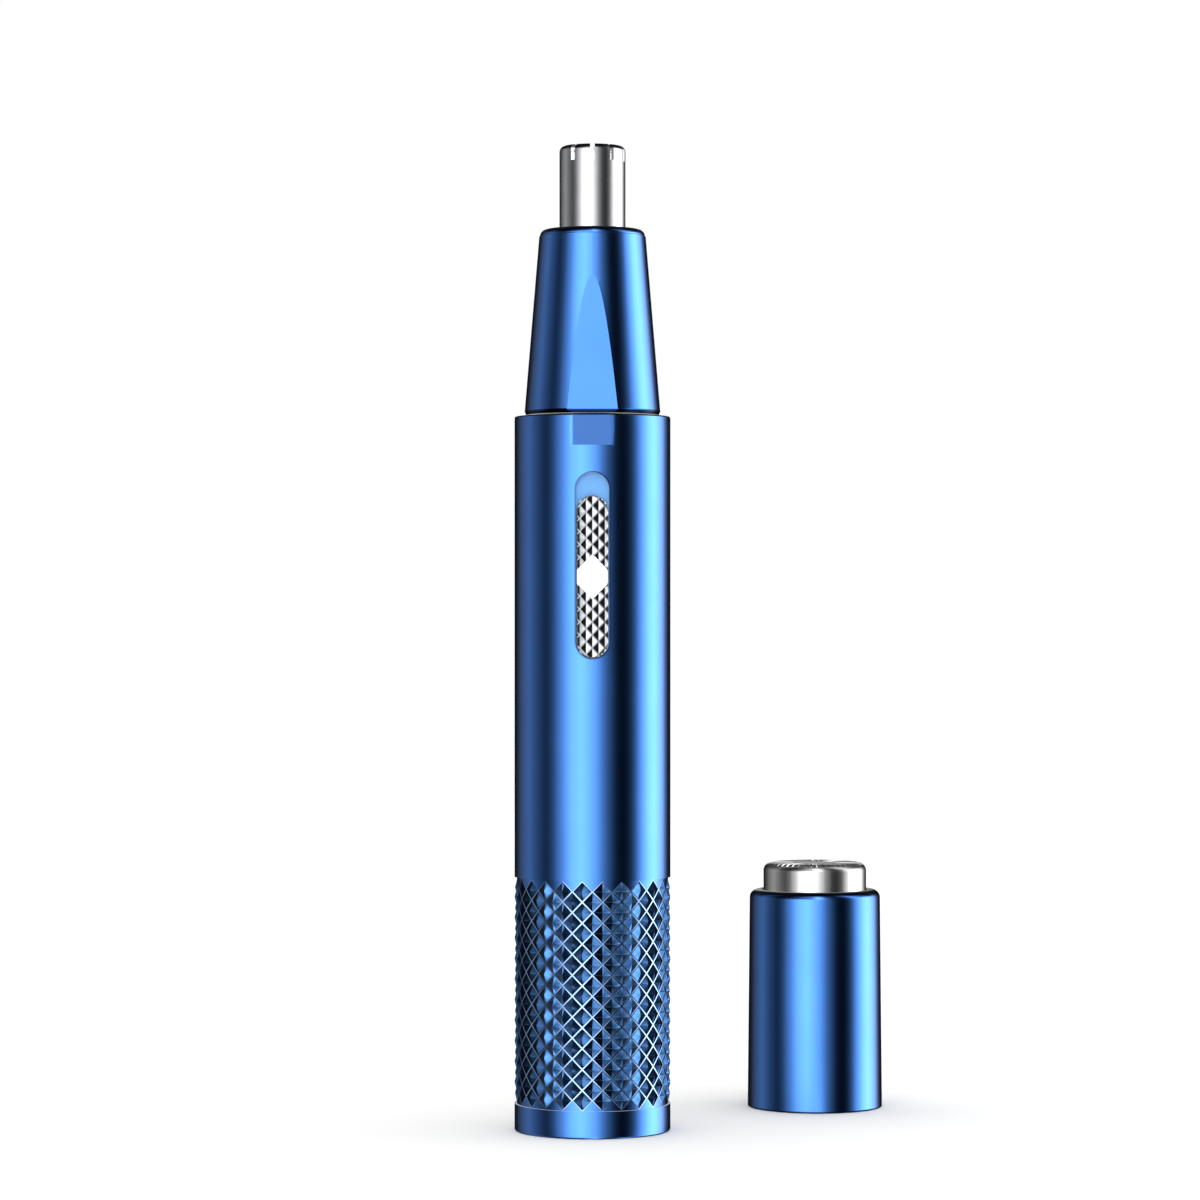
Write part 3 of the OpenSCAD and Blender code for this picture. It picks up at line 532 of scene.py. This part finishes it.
# %% [markdown]
# The tip's rim stands highest and the middle is slightly dished, so a slot shows daylight where it crosses
# the rim. The inside follows the outside at the wall's thickness.

# %% Cutting tip
TIP_R, TIP_WALL, TIP_ROUND = tip_high[0], 0.55, 0.85
TIP_TOP, TIP_FOOT = tip_high[2], tip_low[2]
SLOT_TIP_W, SLOT_TIP_H, TIP_SLOTS = 0.65, 2.3, 10


def tip_profiles():
    """Outer and inner (radius, height) rows from the foot up over the rim to the middle."""
    outer = np.vstack([
        [[TIP_R, TIP_FOOT], [TIP_R, TIP_TOP - 6], [TIP_R, TIP_TOP - SLOT_TIP_H], [TIP_R, TIP_TOP - 1.5]],
        arc((TIP_R - TIP_ROUND, TIP_TOP - TIP_ROUND), TIP_ROUND, 0, 90, 8),
        [[3.1, TIP_TOP - 0.10], [2.4, TIP_TOP - 0.22], [1.6, TIP_TOP - 0.25],
         [0.8, TIP_TOP - 0.25], [0.0, TIP_TOP - 0.25]],
    ])
    inner_round = TIP_ROUND - TIP_WALL
    inner = np.vstack([
        [[TIP_R - TIP_WALL, height]
         for height in (TIP_FOOT, TIP_TOP - 6, TIP_TOP - SLOT_TIP_H, TIP_TOP - 1.5)],
        arc((TIP_R - TIP_ROUND, TIP_TOP - TIP_ROUND), inner_round, 0, 90, 8) - [0, 0.15],
        [[radius, TIP_TOP - 0.82] for radius in (3.1, 2.4, 1.6, 0.8, 0.0)],
    ])
    return outer, inner


tip_outer, tip_inner = tip_profiles()
tip_last = len(tip_outer) - 3
tip_patches = slotted_cup(tip_outer, tip_inner, 2, tip_last, TIP_SLOTS, SLOT_TIP_W, 8)
tip_skin = make_piece("cutting_tip_skin", tip_patches, "nose_head", "cutter_tube", sharp=30)

# %% [markdown]
# ## The spare head
# Its sleeve is a plain turned shell, and its foil cup is slit all round the rim.

# %% Sleeve and foil cup
SLEEVE_R, SLEEVE_TOP_R, SLEEVE_H = sleeve_high[0] - SPARE_AT[0], 9.7, sleeve_high[2]
FOIL_R, FOIL_TOP, FOIL_FOOT, FOIL_WALL, FOIL_ROUND = (
    foil_high[0] - SPARE_AT[0], foil_high[2], foil_low[2], 0.3, 1.2)
FOIL_SLITS, FOIL_SLIT_W = 48, 0.25


def sleeve_patches():
    """Turned shell: eased foot, slight taper, rounded shoulder, hole for the foil cup, and the inside."""
    roof = SLEEVE_H - 1.2
    inner_top = SLEEVE_R + (SLEEVE_TOP_R - SLEEVE_R) * roof / SLEEVE_H - 1.2
    profile = np.vstack([
        arc((SLEEVE_R - 0.2, 0.2), 0.2, -90, 0, 3),
        arc((SLEEVE_TOP_R - 1.2, SLEEVE_H - 1.2), 1.2, 0, 90, 10),
        arc((FOIL_R + 0.25, SLEEVE_H - 0.15), 0.15, 90, 180, 3),
        [[FOIL_R + 0.1, roof], [inner_top, roof], [SLEEVE_R - 1.2, 0]],
    ])
    profile = np.vstack([profile, profile[:1]])
    return [revolve(profile, even_turn(160))]


def foil_profiles():
    """Outer and inner rows of the foil cup from its foot up over the rim to the middle."""
    slit_low = FOIL_TOP - 1.05
    outer = np.vstack([
        [[FOIL_R, FOIL_FOOT], [FOIL_R, SLEEVE_H], [FOIL_R, FOIL_TOP - FOIL_ROUND]],
        arc((FOIL_R - FOIL_ROUND, FOIL_TOP - FOIL_ROUND), FOIL_ROUND, 8, 90, 8),
        [[5.2, FOIL_TOP], [4.0, FOIL_TOP - 0.02], [3.2, FOIL_TOP - 0.05],
         [1.6, FOIL_TOP - 0.05], [0.0, FOIL_TOP - 0.05]],
    ])
    inner = np.vstack([
        [[FOIL_R - FOIL_WALL, FOIL_FOOT], [FOIL_R - FOIL_WALL, SLEEVE_H],
         [FOIL_R - FOIL_WALL, slit_low - 0.2]],
        arc((FOIL_R - FOIL_ROUND, FOIL_TOP - FOIL_ROUND), FOIL_ROUND - FOIL_WALL, 8, 90, 8),
        [[radius, FOIL_TOP - FOIL_WALL - 0.05] for radius in (5.2, 4.0, 3.2, 1.6, 0.0)],
    ])
    return outer, inner


sleeve_skin = make_piece(
    "spare_sleeve_skin", sleeve_patches(), "shaver_head", "shaver_sleeve", sharp=30, at=SPARE_AT)
foil_outer, foil_inner = foil_profiles()
foil_patches = slotted_cup(foil_outer, foil_inner, 7, len(foil_outer) - 3, FOIL_SLITS, FOIL_SLIT_W, 2)
foil_skin = make_piece("foil_cup_skin", foil_patches, "shaver_head", "shaver_foil_cup", sharp=30, at=SPARE_AT)

# %% [markdown]
# ## Finishes
# Every finish below is a node material. Its sums are written as plain expressions: an output socket is
# wrapped in a small class whose operators add the Math nodes. All other nodes come from one method, which
# takes the node's type, its settings, and the values or links of its inputs.

# %% A socket that can be reckoned with


class Field:
    """An output socket of a node tree; arithmetic on it adds Math nodes to that tree."""

    def __init__(self, tree, socket=None):
        self.tree, self.socket = tree, socket

    def node(self, kind, settings, inputs, out=0):
        """Adds a node: settings first, then inputs; out is an output, or None for a picker of them."""
        made = self.tree.nodes.new("ShaderNode" + kind)
        for key, value in settings.items():
            if key == "stops":
                stretch_ramp(made.color_ramp, value)
            else:
                setattr(made, key, value)
        for key, value in inputs.items():
            if isinstance(value, Field):
                self.tree.links.new(value.socket, made.inputs[key])
            else:
                made.inputs[key].default_value = value
        if out is None:
            return lambda name: Field(self.tree, made.outputs[name])
        return Field(self.tree, made.outputs[out])

    def math(self, operation, *values):
        return self.node("Math", {"operation": operation}, dict(enumerate(values)))

    def __add__(self, other):
        return self.math("ADD", self, other)

    def __sub__(self, other):
        return self.math("SUBTRACT", self, other)

    def __rsub__(self, other):
        return self.math("SUBTRACT", other, self)

    def __mul__(self, other):
        return self.math("MULTIPLY", self, other)

    def __truediv__(self, other):
        return self.math("DIVIDE", self, other)

    __radd__, __rmul__ = __add__, __mul__

    def atan2(self, other):
        return self.math("ARCTAN2", self, other)

    def root(self):
        return self.math("SQRT", self)

    def size(self):
        return self.math("ABSOLUTE", self)

    def larger(self, other):
        return self.math("MAXIMUM", self, other)

    def step(self, low, high):
        """Rises smoothly from 0 at low to 1 at high."""
        return self.node("MapRange", {"interpolation_type": "SMOOTHSTEP"}, {"Value": self, 1: low, 2: high})

    def blend(self, mask, first, second):
        """Mixes two colours by a mask."""
        return self.node("Mix", {"data_type": "RGBA"}, {0: mask, 6: first, 7: second}, 2)


def stretch_ramp(ramp, stops):
    """Sets a colour ramp's stops from (position, colour) pairs."""
    while len(ramp.elements) < len(stops):
        ramp.elements.new(0.5)
    for element, (position, colour) in zip(ramp.elements, stops):
        element.position, element.color = position, (*colour, 1)


# %% [markdown]
# A finish starts from the object's own coordinates in millimetres, centred on its axis, and gives the
# Principled shader what varies over the surface. What is the same everywhere is set on the shader itself.

# %% Start and end of a finish


class Finish(Field):
    """A new material; its methods give coordinates and textures, and close() adds the shader."""

    def __init__(self, name, centre=(0, 0, 0)):
        self.material = bpy.data.materials.new(name)
        self.material.use_nodes = True
        super().__init__(self.material.node_tree)
        self.tree.nodes.clear()
        metres = self.node("TexCoord", {}, {}, "Object")
        place = [-value for value in centre]
        self.place = self.node("Mapping", {}, {"Vector": metres, "Location": place, "Scale": (1 / MM,) * 3})

    def noise(self, scale, detail=3.0, stretch=(1, 1, 1)):
        """Noise from 0 to 1; scale is in patches per millimetre, and stretch multiplies it per axis."""
        vector = self.node(
            "Mapping", {}, {"Vector": self.place, "Scale": tuple(scale * part for part in stretch)})
        return self.node("TexNoise", {}, {"Vector": vector, "Scale": 1.0, "Detail": detail, "Roughness": 0.6})

    def axes(self):
        """The coordinates x, y, z and the radius from the axis, in millimetres."""
        part = self.node("SeparateXYZ", {}, {0: self.place}, None)
        x, y, z = part("X"), part("Y"), part("Z")
        return x, y, z, (x * x + y * y).root()

    def bump(self, height, depth, strength=1.0):
        """Normal of a height field; depth is its full height in millimetres."""
        return self.node("Bump", {}, {"Height": height, "Distance": depth * MM, "Strength": strength})

    def close(self, **inputs):
        """Adds the shader and the output; names use underscores for spaces."""
        named = {key.replace("_", " "): value for key, value in inputs.items()}
        if "IOR Level" in named:
            named["Specular IOR Level"] = named.pop("IOR Level")
        shader = self.node("BsdfPrincipled", {}, named)
        self.node("OutputMaterial", {}, {0: shader}, None)
        return self.material


def shade(colour, factor):
    """A colour times a factor, as four numbers."""
    return (*[min(part * factor, 1.0) for part in colour[:3]], 1.0)


# %% [markdown]
# ### Anodised aluminium
# The handle, the cone and the spare head's sleeve are turned aluminium, blasted fine and dyed blue. Dyed
# oxide over metal behaves as a coloured mirror with a soft blur, so it is fully metallic. Fine rings from
# turning run round the axis, the dye is a little uneven, and it has rubbed thin on sharp rims, where paler
# metal shows. The knurl's lands are coloured paler and its facets greyer. The mesh pyramids are shallow,
# and most of the steepness that shows is a bump, about twice as deep, on the same two skewed counters. The
# mesh alone looks flatter. The dark bands at shoulders and between parts, the dark foot of each facet and
# the darker milled flat are painted shade in the base colour. They are wider than real grime would be, and
# the light does not make them.

# %% Anodised blue
DYE = (0.070, 0.25, 0.78, 1)
CUT = (0.095, 0.26, 0.60, 1)
RUBBED = (0.20, 0.42, 0.90, 1)
BURNISHED = (0.45, 0.62, 0.92, 1)
FACET_BUMP = 0.68


def knurl_cell(finish, x, y, z):
    """Distance from the middle of a point's own cell, 1 at its outline, and 1 where the cell is a pyramid."""
    across = x.atan2(0 - y) / math.radians(2 * CELL_TURN)
    up = (z - KNURL_LOW) / CELL_H
    first, second = across + up, across - up
    whole_first, whole_second = first.math("ROUND", first), second.math("ROUND", second)
    apart = (first - whole_first).size().larger((second - whole_second).size()) * 2
    row = whole_first - whole_second
    return apart, row.step(0.4, 0.6) * (1 - row.step(2 * CELL_ROWS - 0.6, 2 * CELL_ROWS - 0.4))


def near_height(z, height, full, reach):
    """1 within a distance of a height, falling smoothly to 0."""
    return 1 - (z - height).size().step(full, reach)


def anodised(name, centre=(0, 0, 0), knurled=False, rims=(), shade_bands=()):
    """Blue dye over turned metal; rims are heights of worn edges, and the bands given as (height, reach)
    are painted shade: dark dye at shoulders and between parts."""
    finish = Finish(name, centre)
    x, y, z, radius = finish.axes()
    cloudy = finish.noise(0.12, 3)
    grain = finish.noise(9, 2)
    rings = finish.noise(1, 2, (0.05, 0.05, 14))
    patchy = finish.noise(1.3, 5).step(0.42, 0.68)
    colour = finish.blend(cloudy.step(0.3, 0.75), shade(DYE, 0.97), shade(DYE, 1.03))
    for rim in rims:
        colour = finish.blend(near_height(z, rim, 0.05, 0.35) * patchy * 0.5, colour, RUBBED)
    height = rings * 0.7 + grain * 0.3
    relief = finish.bump(height, 0.0009)
    coat = 0.4
    if knurled:
        apart, pyramid = knurl_cell(finish, x, y, z)
        land = apart.step(LAND_EDGE - 0.02, LAND_EDGE + 0.02) * pyramid
        # Painted shade: the foot of each facet, where it meets the land, is coloured darker as a shaded
        # crease.
        foot = apart.step(0.78, 0.86) * (1 - land) * pyramid
        colour = finish.blend(pyramid * 0.8, colour, CUT)
        colour = finish.blend(land * 0.7, colour, BURNISHED)
        colour = finish.blend(foot * 0.6, colour, shade(DYE, 0.3))
        rise = (LAND_EDGE - apart.math("MINIMUM", apart, LAND_EDGE)) * pyramid
        relief = finish.node("Bump", {}, {"Height": rise, "Distance": FACET_BUMP * MM, "Normal": relief})
        # Painted shade: the milled flat is coloured darker, standing in for the lesser light that it shows.
        above = z.step(BODY_H - FLAT_H - 0.03, BODY_H - FLAT_H + 0.03)
        milled = above * (1 - radius.step(BODY_R - 0.06, BODY_R - 0.02))
        colour = finish.blend(milled * 0.9, colour, shade(DYE, 0.42))
        coat = 0.4 - 0.4 * pyramid
    # Painted shade: bands of near-black dye at shoulders and between parts, with the coat taken off there.
    for band_height, reach in shade_bands:
        dark = near_height(z, band_height, reach * 0.6, reach)
        colour = finish.blend(dark * 0.97, colour, shade(DYE, 0.03))
        coat = (1 - dark) * coat
    rough = 0.145 + 0.03 * grain + 0.02 * cloudy
    return finish.close(Base_Color=colour, Metallic=1.0, Roughness=rough, Normal=relief,
                        Coat_Weight=coat, Coat_Roughness=0.2, Coat_IOR=1.5)


# %% [markdown]
# ### Bright metals
# The switch is polished and plated, the tip is turned steel, and the foil cup is thin bright nickel. They
# are all the same kind of surface: a neutral mirror with its own blur, lines from how it was made, and
# a trace of dirt or heat tint where a finger never polishes it.

# %% Neutral metals


def bright_metal(name, colour, roughness, centre=(0, 0, 0), rings=0.0, grain=0.0, stain=0.06, rim=None):
    """A metal mirror; rings and grain are depths in millimetres, stain is how far the colour wanders,
    and rim is the (height, radius) of a rounded edge painted almost black as shade."""
    finish = Finish(name, centre)
    cloud = finish.noise(0.4, 5)
    fine = finish.noise(6, 3)
    lines = finish.noise(1, 3, (0.08, 0.08, 16))
    tint = finish.blend(cloud.step(0.25, 0.8), shade(colour, 1 - stain), shade(colour, 1 + stain / 2))
    rough = roughness * 0.8 + roughness * 0.4 * fine
    if rim:
        x, y, z, radius = finish.axes()
        # Painted shade: the rounded rim is coloured almost black, standing in for the dark it shows.
        dark = near_height(z, rim[0], 0.4, 0.75) * radius.step(rim[1] - 1.3, rim[1] - 1.1)
        tint = finish.blend(dark * 0.97, tint, (0.005, 0.005, 0.005, 1))
    share = rings / max(rings + grain, 1e-6)
    relief = finish.bump(lines * share + fine * (1 - share), rings + grain)
    return finish.close(Base_Color=tint, Metallic=1.0, Roughness=rough, Normal=relief)


def plated_switch():
    """Polished plating, rougher down in the grooves of its knurl, where the colour is painted darker as
    shade.
    """
    finish = Finish("switch_plating")
    x, y, z, radius = finish.axes()
    crest = radius.step(SWITCH_FACE - TOOTH_DEPTH, SWITCH_FACE - TOOTH_DEPTH + 0.12)
    smear = finish.noise(0.9, 5, (1, 1, 0.4))
    # Painted shade: the groove bottoms are coloured dark grey; their higher roughness is the plating's own.
    tint = finish.blend(crest, (0.30, 0.32, 0.36, 1), (0.90, 0.92, 0.95, 1))
    rough = 0.13 - 0.05 * crest + 0.03 * smear
    relief = finish.bump(finish.noise(7, 3), 0.0012)
    return finish.close(Base_Color=tint, Metallic=1.0, Roughness=rough, Normal=relief)


# %% [markdown]
# ### Plastics and rubber
# Moulded plastic has a fine spark-eroded skin, slightly uneven gloss, and a colour that is never quite
# flat. Rubber is the same idea with no gloss and a coarser grain.

# %% Plastics and rubber


def moulded(name, colour, roughness, texture=0.004, grain=5.0, level=0.5, centre=(0, 0, 0), **more):
    """Moulded skin: fine grain of a depth in millimetres, uneven gloss and a slight wander in colour."""
    finish = Finish(name, centre)
    fine = finish.noise(grain, 4)
    cloud = finish.noise(0.35, 4)
    tint = finish.blend(cloud, shade(colour, 0.86), shade(colour, 1.14))
    rough = roughness - 0.05 + 0.10 * fine
    relief = finish.bump(fine, texture)
    return finish.close(Base_Color=tint, Roughness=rough, Normal=relief, IOR_Level=level, **more)


# %% [markdown]
# ### Inner parts
# These show only when a head is pulled off, or in a cutaway. The circuit board has darker tracks, which are
# the edges of large square cells. Windings are wire: fine parallel ridges. The cell's sleeve is shrunk
# film with soft ripples. The sintered bush is porous.

# %% Board, wire, film and sintered metal


def board():
    """Green lacquer over copper tracks: the borders of cells on a square lattice are paler."""
    finish = Finish("board_lacquer")
    grid_lines = finish.node("TexBrick", {"offset": 0.5}, {
        "Vector": finish.place, "Scale": 0.35, "Mortar Size": 0.03,
        "Color1": (0.012, 0.10, 0.035, 1), "Color2": (0.016, 0.13, 0.05, 1), "Mortar": (0.05, 0.26, 0.11, 1)})
    relief = finish.bump(finish.noise(3, 3), 0.006)
    rough = 0.28 + 0.12 * finish.noise(1.5)
    return finish.close(Base_Color=grid_lines, Roughness=rough, Normal=relief, Coat_Weight=0.4)


def wire(name, colour):
    """Enamelled copper: ridges a third of a millimetre apart."""
    finish = Finish(name)
    ridges = finish.node("TexWave", {"bands_direction": "Z"}, {
        "Vector": finish.place, "Scale": 0.5, "Distortion": 0.6, "Detail": 1.0})
    # Painted shade: the hollows between turns are coloured darker than the ridges.
    tint = finish.blend(ridges, shade(colour, 0.55), colour)
    return finish.close(Base_Color=tint, Metallic=1.0, Roughness=0.3, Normal=finish.bump(ridges, 0.05))


def sintered(name, colour):
    """Pressed metal powder: pores painted dark as shade between bright grains."""
    finish = Finish(name)
    pores = finish.node("TexVoronoi", {"feature": "DISTANCE_TO_EDGE"}, {"Vector": finish.place, "Scale": 5.0})
    solid = pores.step(0.02, 0.12)
    # Painted shade: the pores are coloured dark, standing in for the shade inside them.
    tint = finish.blend(solid, shade(colour, 0.35), colour)
    return finish.close(
        Base_Color=tint, Metallic=0.9, Roughness=0.55 - 0.2 * solid, Normal=finish.bump(solid, 0.01))


# %% [markdown]
# ### Floor
# The table is plain pale paper with a faint tooth.

# %% Paper


def pale_floor():
    """Pale paper: almost white, with a faint wander in tone and a very fine tooth."""
    finish = Finish("pale_paper")
    tone = finish.blend(finish.noise(0.02, 3), (0.90, 0.90, 0.885, 1), (0.95, 0.95, 0.935, 1))
    return finish.close(
        Base_Color=tone, Roughness=0.9, Normal=finish.bump(finish.noise(3, 2), 0.01), IOR_Level=0.1)


# %% [markdown]
# ### Hand out the finishes
# Each engineering part names the finish it takes, so most parts are dressed from one table. The skins made
# above take theirs one by one, because a knurl's wear and a part's own axis differ.

# %% Assign every finish
SPARE_CENTRE = tuple(SPARE_AT)
FINISHES = {
    "blue_anodised": anodised("anodised_blue"),
    "blue_plastic": moulded("blue_plastic", (0.13, 0.42, 0.95), 0.32, 0.003, 6, Coat_Weight=0.3),
    "navy_plastic": moulded("navy_plastic", (0.018, 0.035, 0.11), 0.42, 0.006),
    "black_plastic": moulded("black_plastic", (0.018, 0.018, 0.02), 0.45, 0.006),
    "grey_plastic": moulded("grey_plastic", (0.20, 0.21, 0.23), 0.48, 0.006),
    "white_plastic": moulded("white_plastic", (0.82, 0.82, 0.79), 0.35, 0.004),
    "black_rubber": moulded("black_rubber", (0.016, 0.016, 0.017), 0.72, 0.010, 8, 0.3),
    "switch_metal": plated_switch(),
    "steel": bright_metal("turned_steel", (0.62, 0.63, 0.65), 0.24, rings=0.003),
    "chrome_foil": bright_metal("foil_nickel", (0.72, 0.72, 0.73), 0.24, SPARE_CENTRE, rings=0.001),
    "nickel": bright_metal("nickel_plate", (0.72, 0.70, 0.64), 0.26, grain=0.002),
    "bronze": sintered("sintered_bronze", (0.55, 0.33, 0.15, 1)),
    "gold_pads": bright_metal("gold_pads", (0.92, 0.66, 0.22), 0.2, grain=0.001),
    "copper_wire": wire("copper_wire", (0.62, 0.26, 0.11, 1)),
    "magnet": moulded("magnet_ferrite", (0.06, 0.06, 0.065), 0.5, 0.012, 4),
    "green_board": board(),
    "cell_sleeve": moulded("cell_sleeve", (0.04, 0.28, 0.40), 0.25, 0.02, 0.8, Coat_Weight=0.6),
    "red_insulation": moulded("red_insulation", (0.50, 0.02, 0.02), 0.4, 0.004),
    "clear_pipe": moulded("clear_pipe", (0.90, 0.92, 0.95), 0.12, 0.001, Transmission_Weight=0.85, IOR=1.49),
}
for subpart in frame["record"]["subparts"]:
    for slot in nodes[subpart["node"]].material_slots:
        slot.material = FINISHES[subpart["material_slot"]]
# The bands given to the anodised skins below are painted shade at their shoulders and joints.
SKINS = {
    handle_skin: ("blue_anodised", anodised(
        "anodised_handle", knurled=True, rims=(0.0, BODY_H), shade_bands=[(BODY_H, 0.25)])),
    cone_skin: ("blue_anodised", anodised("anodised_cone", shade_bands=[(CONE_FOOT, 0.65), (CONE_TOP, 0.75)])),
    sleeve_skin: ("blue_anodised", anodised(
        "anodised_sleeve", SPARE_CENTRE, shade_bands=[(0.0, 0.3), (SLEEVE_H, 0.6)])),
    switch_skin: ("switch_metal", FINISHES["switch_metal"]),
    # The tip's rim is painted almost black as shade.
    tip_skin: ("steel", bright_metal(
        "tip_steel", (0.66, 0.67, 0.69), 0.24, rings=0.001, rim=(TIP_TOP, TIP_R))),
    foil_skin: ("chrome_foil", FINISHES["chrome_foil"]),
}
for skin, (slot_name, material) in SKINS.items():
    skin.data.materials.append(material)
print("finishes", len(bpy.data.materials), "skins", len(SKINS))

# %% [markdown]
# ## The studio
# Polished metal shows its surroundings, so the studio matters as much as the finish. On a round bar a
# bright box becomes a bright vertical band and a dark card a dark one. Here they are painted on the world:
# brightness follows the compass direction. This is not a plain studio. Both tables were fitted, stop by
# stop, so that the bands fall in chosen places in the front view. One serves level directions and the other
# steep ones, which the knurl's facets and the switch see. Overhead and high behind are nearly black, which
# darkens rounded shoulders. Matt surfaces get a separate even light, and the backdrop is plain white.

# %% World as tall soft boxes
# Direction in degrees to the right of the front, and brightness there.
SOFT_BOXES = [
    (-180, 0.8), (-176, 0.3), (-171, 0.006), (-155, 0.01), (-144, 0.05), (-128, 0.21), (-108, 0.42),
    (-90, 0.20), (-72, 0.05), (-60, 0.18), (-44, 0.95), (-32, 2.1), (-16, 2.75), (0, 1.8), (16, 0.58),
    (24, 0.24), (34, 0.035), (42, 0.006), (50, 0.006), (58, 0.05), (66, 0.26), (80, 1.6), (92, 3.1),
    (104, 3.6), (120, 2.1), (136, 0.28),
    (147, 0.01), (171, 0.006), (176, 0.3), (180, 0.8),
]
UPPER_BOXES = [
    (-180, 0.02), (-160, 0.05), (-140, 0.2), (-129, 0.3), (-117, 0.4), (-104, 0.12), (-92, 0.01), (-73, 0.01),
    (-56, 0.03), (-46, 0.1), (-36, 0.25), (-26, 0.5), (-15, 0.55), (-6, 0.9), (5, 3.3), (12, 1.6),
    (20, 0.3), (36, 0.03),
    (56, 0.02), (65, 0.06), (71, 0.5), (78, 1.4), (90, 1.1), (104, 0.4), (117, 0.3), (130, 0.07), (142, 0.01),
    (180, 0.02),
]
BRIGHTEST = max(level for direction, level in SOFT_BOXES)
EVEN_LIGHT = 1.2

world = bpy.data.worlds.new("studio")
bpy.context.scene.world = world
world.use_nodes = True
world.node_tree.nodes.clear()
sky = Field(world.node_tree)
split = sky.node("SeparateXYZ", {}, {0: sky.node("TexCoord", {}, {}, "Generated")}, None)
compass = split("X").atan2(0 - split("Y"))
turn = compass / (2 * math.pi) + 0.5


def painted(levels):
    """A colour ramp over the compass, as grey parts of the brightest level."""
    stops = [((direction + 180) / 360, (level / BRIGHTEST,) * 3) for direction, level in levels]
    return sky.node("ValToRGB", {"stops": stops}, {"Fac": turn})


boxes = sky.blend(split("Z").size().step(0.3, 0.55), painted(SOFT_BOXES), painted(UPPER_BOXES))
overhead = split("Z").step(0.88, 0.99)
behind = split("Y").step(0.2, 0.5) * split("Z").step(0.25, 0.45)
soft = sky.blend(overhead, sky.blend(behind, boxes, (0.02, 0.02, 0.02, 1)), (0.05, 0.05, 0.05, 1))
seen = sky.node("LightPath", {}, {}, "Is Camera Ray")
mirrors = sky.node("Background", {}, {"Color": soft, "Strength": BRIGHTEST})
even = sky.node("Background", {}, {"Color": (1, 1, 1, 1), "Strength": EVEN_LIGHT})
matt = sky.node("LightPath", {}, {}, "Is Diffuse Ray")
light = sky.node("MixShader", {}, {0: matt, 1: mirrors, 2: even})
paper = sky.node("Background", {}, {"Color": (1, 1, 1, 1), "Strength": 1.0})
sky.node("OutputWorld", {}, {0: sky.node("MixShader", {}, {0: seen, 1: light, 2: paper})}, None)
print("soft boxes", len(SOFT_BOXES), "brightest", BRIGHTEST)

# %% [markdown]
# The floor is a pale disc. It takes soft shadows, and it is hidden from mirror rays, which keeps the metal's
# lower facets dark. A real table would show in them.

# %% Floor
FLOOR_R = 0.9
floor_mesh = bpy.data.meshes.new("floor")
floor_rings = np.array([[0.0, 0.0], [0.3, 0.0], [FLOOR_R, 0.0]]) / MM
floor_points, floor_quads = revolve(floor_rings + [0, -0.02], even_turn(96))
floor_mesh.from_pydata((floor_points * MM).tolist(), [], floor_quads[:, ::-1].tolist())
floor = bpy.data.objects.new("floor", floor_mesh)
bpy.context.scene.collection.objects.link(floor)
floor.visible_glossy = False
floor.data.materials.append(pale_floor())

# %% [markdown]
# Mirror rays pass through the parts as they do through the floor, so each part shows the boxes alone. This
# is not physical: real facets would show each other, and the spare head would show the handle.

# %% Keep the mirrors clean
for thing in bpy.data.objects:
    if thing.type == "MESH":
        thing.visible_glossy = False

# %% [markdown]
# The camera stands a little over half a metre in front with a long lens, level, at three quarters of the
# handle's height.

# %% Camera
camera = bpy.data.objects.new("camera", bpy.data.cameras.new("camera"))
bpy.context.scene.collection.objects.link(camera)
camera.location = (0.00107, -0.590, 0.0754)
camera.rotation_euler = (math.pi / 2, 0, 0)
camera.data.sensor_width = 36
camera.data.lens = 124.3
camera.data.clip_start, camera.data.clip_end = 0.01, 20
bpy.context.scene.camera = camera
bpy.context.scene.view_settings.view_transform = "Standard"

# %% [markdown]
# Last comes a closing cell, which only imports json.

# %% Closing import
import json
